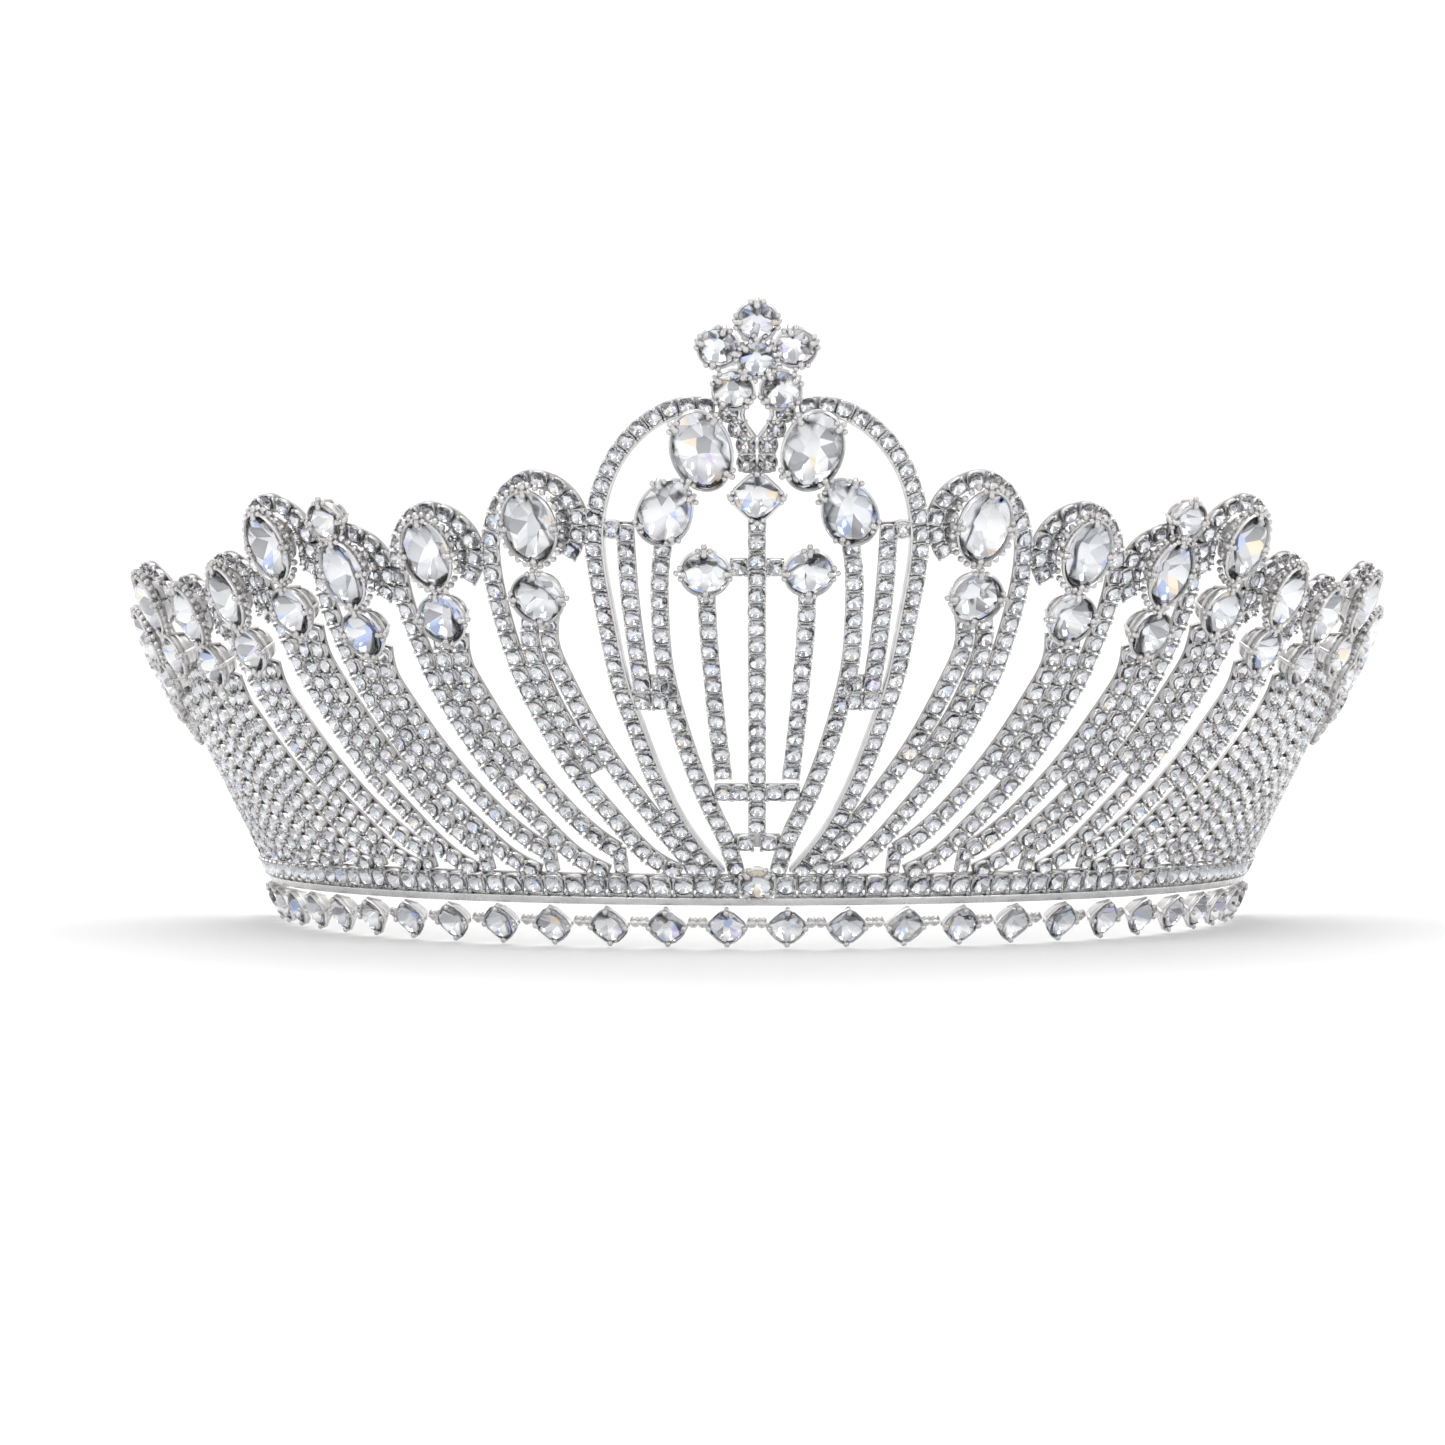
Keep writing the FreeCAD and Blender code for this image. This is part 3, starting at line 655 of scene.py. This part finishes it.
def square_setting(side, diagonal, beads=1):
    """A square box setting that stands on its corner, with a claw at each corner.

    Its levels are (share of the width, share of the height, tone), up the outside and down the inside; the
    tone is painted shade, darker on the walls, in the groove and inside than on the rim and ridge.
    """
    shape = Shape()
    height = SEAT_DEPTH * side
    half = side / math.sqrt(2)
    levels = [(0.46, 0.0, SIDE_SHADE), (0.50, 0.10, SIDE_SHADE), (0.76, 0.55, SIDE_SHADE), (0.80, 0.60, BRIGHT),
              (0.83, 0.70, BRIGHT), (0.84, 0.76, RECESS_SHADE), (0.97, 0.94, SIDE_SHADE), (1.0, 1.0, BRIGHT),
              (0.97, 1.05, BRIGHT), (0.90, 1.05, BRIGHT), (0.86, 0.90, RECESS_SHADE), (0.36, 0.0, RECESS_SHADE)]
    points = []
    for share, level, _ in levels:
        for i in range(CUP_SIDES):
            x, y = outline_point(2 * math.pi * i / CUP_SIDES + math.pi / 4, BOX_SQUARENESS)
            turned = (x - y) / math.sqrt(2), (x + y) / math.sqrt(2)
            scale = half / math.sqrt(2) * share * 1.04
            points.append((turned[0] * scale, turned[1] * scale, level * height))
    add_rings(shape, points, CUP_SIDES, [row[2] for row in levels[1:] + levels[:1]])
    reach = diagonal / 2 - CLAW_RADIUS
    foot_share, tip_share = CORNER_CLAW_SHARES
    for x, y in ((1, 0), (0, 1), (-1, 0), (0, -1)):
        foot = (x * reach * foot_share, y * reach * foot_share, 0.2)
        shoulder = (x * reach, y * reach, height * 0.85)
        tip = (x * reach * tip_share, y * reach * tip_share, height + CLAW_RISE)
        # The corner claws take the painted side shade.
        tube(shape, [foot, shoulder, tip], CORNER_CLAW_RADII, SIDE_SHADE)
        ball(shape, tip, CLAW_RADIUS * 0.92, SIDE_SHADE, flat=0.85)
        if beads > 1:
            for hand in (-1, 1):
                along, beside = reach * CORNER_BEAD_AT[0], hand * CORNER_BEAD_AT[1]
                spot = (x * along - y * beside, y * along + x * beside, height + CORNER_BEAD_AT[2])
                ball(shape, spot, CLAW_RADIUS * CORNER_BEAD_SHARE)
    return shape


# Cup chain

def chain_cup(width, length):
    """One cup of the chain: a rounded square collar with four prong beads. Its walls and beads are in painted
    side shade, its inside darker, its rim full.
    """
    shape = Shape()
    rings = [(0.80, CUP_FLOOR, 4.0, SHADE), (0.95, 0.70, 4.0, SIDE_SHADE), (1.0, 0.98, 4.2, SIDE_SHADE),
             (1.0, 1.12, 4.0, BRIGHT), (0.95, CUP_MOUTH, 3.6, BRIGHT), (0.89, CUP_MOUTH, 2.4, BRIGHT),
             (0.86, 0.98, 2.2, SHADE)]
    points = []
    for share, level, square, _ in rings:
        for i in range(CUP_SIDES):
            x, y = outline_point(2 * math.pi * (i + 0.5) / CUP_SIDES, square)
            points.append((x * width / 2 * share, y * length / 2 * share, level))
    add_rings(shape, points, CUP_SIDES, [row[3] for row in rings[1:]])
    for x in (-1, 1):
        for y in (-1, 1):
            corner = (x * (width / 2 - PRONG_INSET[0]), y * (length / 2 - PRONG_INSET[1]),
                      CUP_MOUTH + PRONG_RISE)
            ball(shape, corner, CHAIN_BEAD, SIDE_SHADE, sides=7, rings=4)
    return shape


CUP = chain_cup(CUP_WIDTH, CUP_LENGTH)
CHAIN_GEMS = [brilliant(CHAIN_STONE, CHAIN_STONE, square=3.0, uneven=0.12, table=0.55) for _ in range(8)]


def chain_along(metal, stones, path, aside=0.0, share=1.0):
    """Cups and their stones at even steps along a path."""
    count = max(1, round(path.length / (CUP_PITCH * share)))
    step = path.length / count
    for index in range(count):
        origin, axes = path.frame((index + 0.5) * step, 0.0, aside)
        wobble = 1 + rng.uniform(-0.03, 0.03)
        metal.merge(CUP, (origin, axes * share * wobble))
        gem = rng.choice(CHAIN_GEMS)
        seat = CUP_MOUTH - 0.04 - SEAT_DEPTH * CHAIN_STONE
        place = tilted((origin + axes[2] * seat * share, axes), CHAIN_TILT)
        spin = rng.uniform(-CHAIN_SPIN, CHAIN_SPIN)
        side, up, out = place[1]
        turned = np.array([side * math.cos(spin) + up * math.sin(spin),
                           up * math.cos(spin) - side * math.sin(spin), out])
        stones.merge(gem, (place[0], turned * share), sparkle(gem, CHAIN_WEIGHTS))


def backing(metal, path, width=BACKING_WIDTH, height=BACKING_HEIGHT, aside=0.0, tone=GAP_SHADE, step=0.8):
    """The smooth strip that the cups are soldered to, darkened by default as painted shade between the cups.
    """
    count = max(2, int(path.length / step) + 1)
    places = [path.frame(path.length * i / (count - 1), 0.0, aside) for i in range(count)]
    section = rounded_bar(width, height, min(BACKING_BEVEL, width / 3, height / 3))
    sweep(metal, places, section, tone)


def strand(metal, stones, points, share=1.0):
    path = Path(points)
    backing(metal, path, BACKING_WIDTH * share)
    chain_along(metal, stones, path, 0.0, share)


def edged_strand(metal, stones, points, inner):
    """A strand with a smooth bright edge on one side: inner is -1 or 1."""
    path = Path(points)
    backing(metal, path)
    backing(metal, path, EDGE_WIDTH, EDGE_HEIGHT, inner * EDGE_OFFSET, BRIGHT)
    chain_along(metal, stones, path, -inner * EDGED_CUP_SHIFT, EDGED_CUP_SHARE)


# Materials

def new_material(name):
    material = bpy.data.materials.new(name)
    material.use_nodes = True
    nodes = material.node_tree.nodes
    return material, nodes, material.node_tree.links, nodes["Principled BSDF"]


def noise_between(nodes, links, coordinates, scale, low, high):
    """A noise pattern spread between two values."""
    noise = nodes.new("ShaderNodeTexNoise")
    noise.inputs["Scale"].default_value = scale
    noise.inputs["Detail"].default_value = 3.0
    links.new(coordinates, noise.inputs["Vector"])
    spread = nodes.new("ShaderNodeMapRange")
    spread.inputs["From Min"].default_value = 0.3
    spread.inputs["From Max"].default_value = 0.7
    spread.inputs["To Min"].default_value = low
    spread.inputs["To Max"].default_value = high
    links.new(noise.outputs["Fac"], spread.inputs["Value"])
    return spread.outputs["Result"]


def toned_colour(nodes, links, coordinates, light, dark, scale):
    """Cloudy variation between two colours, times the face's tone, which paints shade on the metal and
    reflections on the foil.
    """
    cloud = noise_between(nodes, links, coordinates, scale, 0.0, 1.0)
    blend = nodes.new("ShaderNodeMix")
    blend.data_type = "RGBA"
    blend.inputs["A"].default_value = (*dark, 1.0)
    blend.inputs["B"].default_value = (*light, 1.0)
    links.new(cloud, blend.inputs["Factor"])
    tone = nodes.new("ShaderNodeAttribute")
    tone.attribute_name = "tone"
    times = nodes.new("ShaderNodeMix")
    times.data_type = "RGBA"
    times.blend_type = "MULTIPLY"
    times.inputs["Factor"].default_value = 1.0
    links.new(blend.outputs["Result"], times.inputs["A"])
    links.new(tone.outputs["Color"], times.inputs["B"])
    return times.outputs["Result"]


def bumped(nodes, links, coordinates, scale, height, shader):
    noise = nodes.new("ShaderNodeTexNoise")
    noise.inputs["Scale"].default_value = scale
    noise.inputs["Detail"].default_value = 4.0
    links.new(coordinates, noise.inputs["Vector"])
    bump = nodes.new("ShaderNodeBump")
    bump.inputs["Strength"].default_value = 0.5
    bump.inputs["Distance"].default_value = height * MM
    links.new(noise.outputs["Fac"], bump.inputs["Height"])
    links.new(bump.outputs["Normal"], shader.inputs["Normal"])


def plated_metal():
    """Bright plating, a little cloudy and worn, with fine casting grain."""
    material, nodes, links, shader = new_material("plated_metal")
    at = nodes.new("ShaderNodeTexCoord").outputs["Object"]
    colour = toned_colour(nodes, links, at, (0.78, 0.776, 0.776), (0.62, 0.616, 0.616), 260.0)
    links.new(colour, shader.inputs["Base Color"])
    shader.inputs["Metallic"].default_value = 1.0
    links.new(noise_between(nodes, links, at, 700.0, 0.20, 0.40), shader.inputs["Roughness"])
    bumped(nodes, links, at, 1600.0, 0.03, shader)
    return material


def crystal_crown():
    """The clear front of a stone, with faint surface wear."""
    material, nodes, links, shader = new_material("crystal_crown")
    at = nodes.new("ShaderNodeTexCoord").outputs["Object"]
    colour = toned_colour(nodes, links, at, (1.0, 1.0, 1.0), (0.94, 0.96, 0.99), 300.0)
    links.new(colour, shader.inputs["Base Color"])
    shader.inputs["Transmission Weight"].default_value = 1.0
    shader.inputs["IOR"].default_value = 1.22
    links.new(noise_between(nodes, links, at, 900.0, 0.0, 0.05), shader.inputs["Roughness"])
    return material


def crystal_foil():
    """The silvered back of a stone, each facet with a painted reflection tone."""
    material, nodes, links, shader = new_material("crystal_foil")
    at = nodes.new("ShaderNodeTexCoord").outputs["Object"]
    colour = toned_colour(nodes, links, at, (1.0, 1.0, 1.0), (0.94, 0.945, 0.955), 500.0)
    links.new(colour, shader.inputs["Base Color"])
    shader.inputs["Metallic"].default_value = 1.0
    links.new(noise_between(nodes, links, at, 1200.0, 0.06, 0.18), shader.inputs["Roughness"])
    return material


def pale_paper(name, colour):
    material, nodes, links, shader = new_material(name)
    at = nodes.new("ShaderNodeTexCoord").outputs["Object"]
    noise = nodes.new("ShaderNodeTexNoise")
    noise.inputs["Scale"].default_value = 40.0
    links.new(at, noise.inputs["Vector"])
    blend = nodes.new("ShaderNodeMix")
    blend.data_type = "RGBA"
    blend.inputs["A"].default_value = (*colour, 1.0)
    blend.inputs["B"].default_value = (*[min(1.0, c * 1.01) for c in colour], 1.0)
    links.new(noise.outputs["Fac"], blend.inputs["Factor"])
    links.new(blend.outputs["Result"], shader.inputs["Base Color"])
    shader.inputs["Roughness"].default_value = 0.9
    return material


MATERIALS = {METAL: plated_metal(), GLASS: crystal_crown(), FOIL: crystal_foil()}


def finish_pair(name, metal, stones):
    """Cups and gems that stand together for the CAD node of the same name."""
    metal.finish(name + "_cups", "plated_metal", [name])
    stones.finish(name + "_gems", "crystal", [name])


# Pieces: lowest row, rail and band

def base_angles():
    count = BASE_STONES_PER_SIDE
    return [(index + 0.5) * BASE_PITCH_ANGLE for index in range(-count, count)]


def base_link():
    """A short bar between two settings, with a small loop on each side of its middle."""
    radius = BASE_RADIUS + WALL_FLARE * BASE_ROW_HEIGHT
    gap = radius * math.radians(BASE_PITCH_ANGLE) - BASE_SETTING_DIAGONAL
    reach = gap / 2 + LINK_OVERLAP
    link = Shape()
    tube(link, [(-reach, 0, LINK_LIFT), (0, 0, LINK_LIFT), (reach, 0, LINK_LIFT)],
         [LINK_END_RADIUS, LINK_RADIUS, LINK_END_RADIUS])
    turns = [math.radians(360 / LINK_LOOP_STEPS * k) for k in range(LINK_LOOP_STEPS + 1)]
    for hand in (-1, 1):
        loop = [(hand * LINK_LOOP_AT + LINK_LOOP_REACH[0] * math.cos(turn),
                 LINK_LOOP_REACH[1] * math.sin(turn), LINK_LIFT) for turn in turns]
        # The side loops take the painted side shade.
        tube(link, loop, [LINK_RADIUS] * len(loop), SIDE_SHADE)
    return link


def add_base_row():
    setting = square_setting(BASE_STONE_DIAMETER, BASE_SETTING_DIAGONAL)
    link = base_link()
    length, width = [BASE_STONE_DIAMETER * stretch for stretch in BASE_GEM_STRETCH]
    metal, stones, links = Shape(), Shape(), Shape()
    for angle in base_angles():
        gem = brilliant(length, width, square=3.0, turn=45.0, uneven=0.16)
        metal.merge(setting, wall_frame(angle, BASE_ROW_HEIGHT))
        spun = wall_frame(angle, BASE_ROW_HEIGHT, 0.0, 45.0)
        stones.merge(gem, tilted(spun, GEM_TILT), sparkle(gem))
    for angle in base_angles()[:-1]:
        links.merge(link, wall_frame(angle + BASE_PITCH_ANGLE / 2, BASE_ROW_HEIGHT))
    metal.finish("base_row_settings", "plated_metal", ["base_settings"])
    stones.finish("base_row_gems", "crystal", ["base_stones"])
    links.finish("base_row_links", "plated_metal", ["base_links"])


def level_path(start, end, height):
    steps = max(2, int(abs(end - start) / 3.0))
    return [(start + (end - start) * i / steps, height) for i in range(steps + 1)]


def add_rail():
    metal = Shape()
    middle = (RAIL_LOW + RAIL_HIGH) / 2
    path = Path(level_path(-BAND_HALF_ANGLE, BAND_HALF_ANGLE, middle))
    rise = (RAIL_HIGH - RAIL_LOW) / math.cos(LEAN)
    backing(metal, path, rise, RAIL_DEPTH, 0.0, BRIGHT, 1.0)
    metal.finish("base_rail_bar", "plated_metal", ["base_rail"])


def add_band():
    metal, stones = Shape(), Shape()
    middle = (BAND_LOW + BAND_HIGH) / 2
    gap = BAND_GAP_HALF_ANGLE
    for start, end in ((-BAND_HALF_ANGLE, -gap), (gap, BAND_HALF_ANGLE)):
        strand(metal, stones, level_path(start, end, middle), BAND_SHARE)
    finish_pair("band_chain", metal, stones)
    size = BAND_CENTRE_DIAMETER
    setting, gem = claw_setting(size, size, beads=3), brilliant(size, size, square=2.4)
    metal, stones = Shape(), Shape()
    metal.merge(setting, wall_frame(0.0, BAND_CENTRE_HEIGHT))
    stones.merge(gem, wall_frame(0.0, BAND_CENTRE_HEIGHT), sparkle(gem))
    metal.finish("band_centre_claws", "plated_metal", ["band_centre_setting"])
    stones.finish("band_centre_gem", "crystal", ["band_centre_stone"])


# Pieces: side motifs

def add_motif(number):
    for side, word in ((-1, "right"), (1, "left")):
        metal, stones = Shape(), Shape()
        strand(metal, stones, motif_path(number, side, OUTER_STRAND))
        name = f"motif_{number}_{word}_outer_strand"
        finish_pair(name, metal, stones)
    metal, stones = Shape(), Shape()
    inner = FIRST_INNER_STRAND if number == 1 else INNER_STRAND
    for side in (-1, 1):
        strand(metal, stones, motif_path(number, side, MIDDLE_STRAND))
        strand(metal, stones, motif_path(number, side, inner))
        strand(metal, stones, motif_path(number, side, FILL_STRAND), FILL_SHARE)
    name = f"motif_{number}_inner_strands"
    finish_pair(name, metal, stones)


def add_motif_stones():
    ovals, oval_gems, rounds, round_gems = Shape(), Shape(), Shape(), Shape()

    def add_round(size, place):
        gem = brilliant(size, size)
        rounds.merge(claw_setting(size, size, beads=4, start=0.0), place)
        round_gems.merge(gem, tilted(place, GEM_TILT), sparkle(gem))

    for number in range(1, len(MOTIF_TOPS) + 1):
        share = stone_share(number)
        length, width = MOTIF_OVAL_LENGTH * share, MOTIF_OVAL_WIDTH * share
        oval = claw_setting(length, width, beads=4, start=0.0)
        bead_halo(oval, length, width, OVAL_HALO_COUNT)
        for side in (-1, 1):
            gem = brilliant(length, width)
            angle, height = in_motif(number, *MOTIF_OVAL_AT)
            place = wall_frame(side * angle, height)
            ovals.merge(oval, place)
            oval_gems.merge(gem, tilted(place, GEM_TILT), sparkle(gem))
            angle, height = in_motif(number, *MOTIF_ROUND_AT)
            add_round(MOTIF_ROUND_DIAMETER * share, wall_frame(side * angle, height))
    for side in (-1, 1):
        crest_angle = beside_centre(*CREST_ROUND_AT)
        add_round(CREST_ROUND_DIAMETER, wall_frame(side * crest_angle, CREST_ROUND_AT[1]))
        add_round(SPRAY_DIAMETER, wall_frame(side * SPRAY_STONE_AT[0], SPRAY_STONE_AT[1]))
    ovals.finish("side_oval_claws", "plated_metal", ["side_oval_settings"])
    oval_gems.finish("side_oval_gems", "crystal", ["side_oval_stones"])
    rounds.finish("round_claws", "plated_metal", ["round_settings"])
    round_gems.finish("round_gems", "crystal", ["round_stones"])


def add_posts():
    metal, stones = Shape(), Shape()
    for number in range(2, len(MOTIF_TOPS) + 1):
        for side in (-1, 1):
            angle = side * (foot_angle(number) - POST_LAG_ANGLE)
            path = [(angle, BAND_HIGH), (angle, (BAND_HIGH + POST_TOP) / 2), (angle, POST_TOP)]
            strand(metal, stones, path, POST_SHARE)
    finish_pair("foot_posts", metal, stones)


# Pieces: crest

def on_both_sides(shape, make, at, turn=0.0, gem=False):
    """A freshly made setting or gem on each side of the centre line."""
    for side in (-1, 1):
        piece = make()
        place = wall_frame(side * beside_centre(*at), at[1], 0.0, -side * turn)
        if gem:
            shape.merge(piece, tilted(place, CREST_TILT), sparkle(piece))
        else:
            shape.merge(piece, place)


def add_crest_strands():
    for side, word in ((-1, "right"), (1, "left")):
        metal, stones = Shape(), Shape()
        edged_strand(metal, stones, crest_path(side, ARCH_STRAND), -side)
        finish_pair(f"arch_strand_{word}", metal, stones)
    for name, points in (("crest_short_strands", SHORT_STRAND), ("crest_pear_strands", PEAR_STRAND),
                         ("crest_inner_strands", INNER_CREST_STRAND)):
        metal, stones = Shape(), Shape()
        for side in (-1, 1):
            strand(metal, stones, crest_path(side, points))
        finish_pair(name, metal, stones)
    metal, stones = Shape(), Shape()
    strand(metal, stones, crest_path(1, CENTRE_STRAND))
    finish_pair("crest_centre_strand", metal, stones)


def add_crest_ties():
    metal, stones = Shape(), Shape()
    half = CUP_WIDTH / 2
    row_end = INNER_CREST_STRAND[-1][0] + half
    round_edge = CREST_ROUND_AT[0] - CREST_ROUND_DIAMETER / 2
    for side in (-1, 1):
        for end, height in ((row_end, CREST_ROW_HEIGHT), (round_edge, CREST_TIE_HEIGHT)):
            run = [(half, height), ((half + end) / 2, height), (end, height)]
            strand(metal, stones, crest_path(side, run))
        for level in (-BLOCK_ROW_OFFSET, BLOCK_ROW_OFFSET):
            height = CREST_BLOCK_AT[1] + level
            run = [(CREST_BLOCK_AT[0] + step * BLOCK_HALF_LENGTH, height) for step in (-1, 0, 1)]
            strand(metal, stones, crest_path(side, run))
    run = [(step * CREST_FOOT_REACH, CREST_FOOT_HEIGHT) for step in (-1, 0, 1)]
    strand(metal, stones, crest_path(1, run))
    finish_pair("crest_ties", metal, stones)


def add_crest_pair(name, length, width, at, turn, beads, taper=0.0):
    """The ovals or the pears: one large claw-set stone on each side."""
    metal, stones = Shape(), Shape()
    on_both_sides(metal, lambda: claw_setting(length, width, taper, beads), at, turn)
    on_both_sides(stones, lambda: brilliant(length, width, taper=taper), at, turn, True)
    metal.finish(name + "_claws", "plated_metal", [name + "_settings"])
    stones.finish(name + "_gems", "crystal", [name + "_stones"])


def add_crest_square():
    metal, stones = Shape(), Shape()
    setting = square_setting(SQUARE_SIDE, SQUARE_SIDE * math.sqrt(2), beads=3)
    metal.merge(setting, wall_frame(0.0, SQUARE_AT[1]))
    gem = brilliant(SQUARE_SIDE, SQUARE_SIDE, square=3.4, turn=45.0)
    stones.merge(gem, wall_frame(0.0, SQUARE_AT[1], 0.0, 45.0), sparkle(gem))
    metal.finish("crest_square_claws", "plated_metal", ["crest_square_setting"])
    stones.finish("crest_square_gem", "crystal", ["crest_square_stone"])


def add_crest_links():
    """Small stones round the opening under the flower, and the thin wires that edge it."""
    metal, stones = Shape(), Shape()
    size = CREST_LINK_DIAMETER
    gem_size = size * CREST_LINK_GEM_SHARE
    for at in CREST_LINKS_AT:
        on_both_sides(metal, lambda: claw_setting(size, size, radius=CREST_LINK_CLAW_RADIUS), at)
        on_both_sides(stones, lambda: brilliant(gem_size, gem_size, uneven=0.1), at, 0.0, True)
    steps = 12
    for side in (-1, 1):
        wire = Path(crest_path(side, OPENING_EDGE))
        spots = [wire.frame(wire.length * i / steps, OPENING_WIRE_LIFT)[0] for i in range(steps + 1)]
        tube(metal, spots, [OPENING_WIRE_RADIUS] * len(spots))
    metal.finish("crest_link_claws", "plated_metal", ["crest_link_settings"])
    stones.finish("crest_link_gems", "crystal", ["crest_link_stones"])


def add_crest_stones():
    add_crest_pair("crest_oval", CREST_OVAL_LENGTH, CREST_OVAL_WIDTH, CREST_OVAL_AT, CREST_OVAL_TURN, 4)
    add_crest_pair("crest_pear", PEAR_LENGTH, PEAR_WIDTH, PEAR_AT, PEAR_TURN, 3, 0.1)
    add_crest_square()
    add_crest_links()


def add_flower():
    metal, stones = Shape(), Shape()
    size = FLOWER_CENTRE_DIAMETER
    gem = brilliant(size, size)
    centre = wall_frame(0.0, FLOWER_HEIGHT)
    middle = claw_setting(size, size)
    bead_halo(middle, size, size, FLOWER_HALO_COUNT)
    metal.merge(middle, centre)
    stones.merge(gem, centre, sparkle(gem))
    size = PETAL_STONE_DIAMETER
    petal = claw_setting(size, size, beads=3, start=0.0)
    for index in range(PETAL_COUNT):
        turn = 90 + 360 * index / PETAL_COUNT
        rise = FLOWER_RADIUS * math.sin(math.radians(turn)) * math.cos(LEAN)
        height = FLOWER_HEIGHT + rise
        angle = beside_centre(FLOWER_RADIUS * math.cos(math.radians(turn)), height)
        place = wall_frame(angle, height, 0.0, turn)
        gem = brilliant(size, size)
        metal.merge(petal, place)
        stones.merge(gem, tilted(place, PETAL_TILT), sparkle(gem))
    metal.finish("flower_claws", "plated_metal", ["flower_settings"])
    stones.finish("flower_gems", "crystal", ["flower_stones"])


def paint_eyelets():
    """The CAD's own eyelets stay on show and take the plating."""
    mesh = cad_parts["end_eyelets"].data
    mesh.materials.clear()
    mesh.materials.append(MATERIALS[METAL])
    tone = mesh.attributes.new("tone", "FLOAT_COLOR", "FACE")
    tone.data.foreach_set("color", [1.0] * (4 * len(mesh.polygons)))


# Stage, light and camera

def add_floor():
    """A sheet of pale paper that curves up into the backdrop."""
    mesh = bpy.data.meshes.new("studio_floor")
    bend = FLOOR_BACK - FLOOR_CURVE
    rows = [(-FLOOR_REACH, 0.0), (bend, 0.0)]
    for step in range(1, FLOOR_CURVE_STEPS + 1):
        turn = math.radians(90 * step / FLOOR_CURVE_STEPS)
        rows.append((bend + FLOOR_CURVE * math.sin(turn), FLOOR_CURVE - FLOOR_CURVE * math.cos(turn)))
    rows.append((FLOOR_BACK, BACKDROP_TOP))
    points = []
    for y, z in rows:
        points.extend([(-FLOOR_REACH, y, z), (FLOOR_REACH, y, z)])
    faces = []
    for i in range(len(rows) - 1):
        faces.append((2 * i, 2 * i + 1, 2 * i + 3, 2 * i + 2))
    mesh.from_pydata(points, [], faces)
    mesh.polygons.foreach_set("use_smooth", [True] * len(faces))
    mesh.materials.append(pale_paper("studio_paper", (0.93, 0.93, 0.93)))
    floor = bpy.data.objects.new("studio_floor", mesh)
    bpy.context.scene.collection.objects.link(floor)


def add_light(name, size, power, spot, target):
    light = bpy.data.lights.new(name, "AREA")
    light.shape = "SQUARE"
    light.size = size
    light.energy = power
    lamp = bpy.data.objects.new(name, light)
    lamp.location = spot
    lamp.rotation_mode = "QUATERNION"
    lamp.rotation_quaternion = (Vector(target) - Vector(spot)).to_track_quat("-Z", "Y")
    bpy.context.scene.collection.objects.link(lamp)


def add_sky():
    """Pale all round and a little dimmer overhead, so that polished faces show some shape."""
    world = bpy.data.worlds.new("studio")
    world.use_nodes = True
    nodes, links = world.node_tree.nodes, world.node_tree.links
    split = nodes.new("ShaderNodeSeparateXYZ")
    links.new(nodes.new("ShaderNodeTexCoord").outputs["Generated"], split.inputs["Vector"])
    fade = nodes.new("ShaderNodeMapRange")
    fade.interpolation_type = "SMOOTHSTEP"
    fade.inputs["From Min"].default_value = 0.12
    fade.inputs["From Max"].default_value = 0.45
    fade.inputs["To Min"].default_value = 1.05
    fade.inputs["To Max"].default_value = 0.70
    links.new(split.outputs["Z"], fade.inputs["Value"])
    links.new(fade.outputs["Result"], nodes["Background"].inputs["Strength"])
    nodes["Background"].inputs["Color"].default_value = (1.0, 0.995, 0.99, 1.0)
    bpy.context.scene.world = world


def add_studio():
    add_sky()
    centre = (0.0, RING_CENTRE_Y * MM * 0.5, 0.04)
    add_light("key", 0.7, 4.0, (-0.7, -0.8, 1.1), centre)
    add_light("fill", 0.5, 2.0, (0.9, -0.6, 0.7), centre)
    add_light("top", 0.9, 3.0, (0.0, 0.3, 1.5), centre)
    add_light("backdrop_wash", 1.6, 8.0, (0.0, 0.7, 1.6), (0.0, 1.6, 0.5))
    add_light("small_left", 0.12, 0.5, (-0.5, -0.9, 0.35), centre)
    add_light("small_right", 0.12, 0.5, (0.6, -0.8, 0.25), centre)


def add_camera():
    """Level with the middle of the wall, in front of the ring's centre."""
    data = bpy.data.cameras.new("camera")
    camera = bpy.data.objects.new("camera", data)
    camera.location = (0.0, (RING_CENTRE_Y - CAMERA_BACK) * MM, (WALL_FOOT_Z + CAMERA_HEIGHT) * MM)
    camera.rotation_euler = (math.radians(90), 0.0, 0.0)
    data.sensor_width = 36.0
    data.lens = CAMERA_LENS
    data.shift_x, data.shift_y = CAMERA_SHIFT
    data.clip_start = 0.01
    data.clip_end = 20.0
    bpy.context.scene.collection.objects.link(camera)
    bpy.context.scene.camera = camera


def main():
    add_base_row()
    add_rail()
    add_band()
    for number in range(1, len(MOTIF_TOPS) + 1):
        add_motif(number)
    add_motif_stones()
    add_posts()
    add_crest_strands()
    add_crest_ties()
    add_crest_stones()
    add_flower()
    paint_eyelets()
    add_floor()
    add_studio()
    add_camera()
    bpy.context.scene.view_settings.view_transform = "Standard"


main()
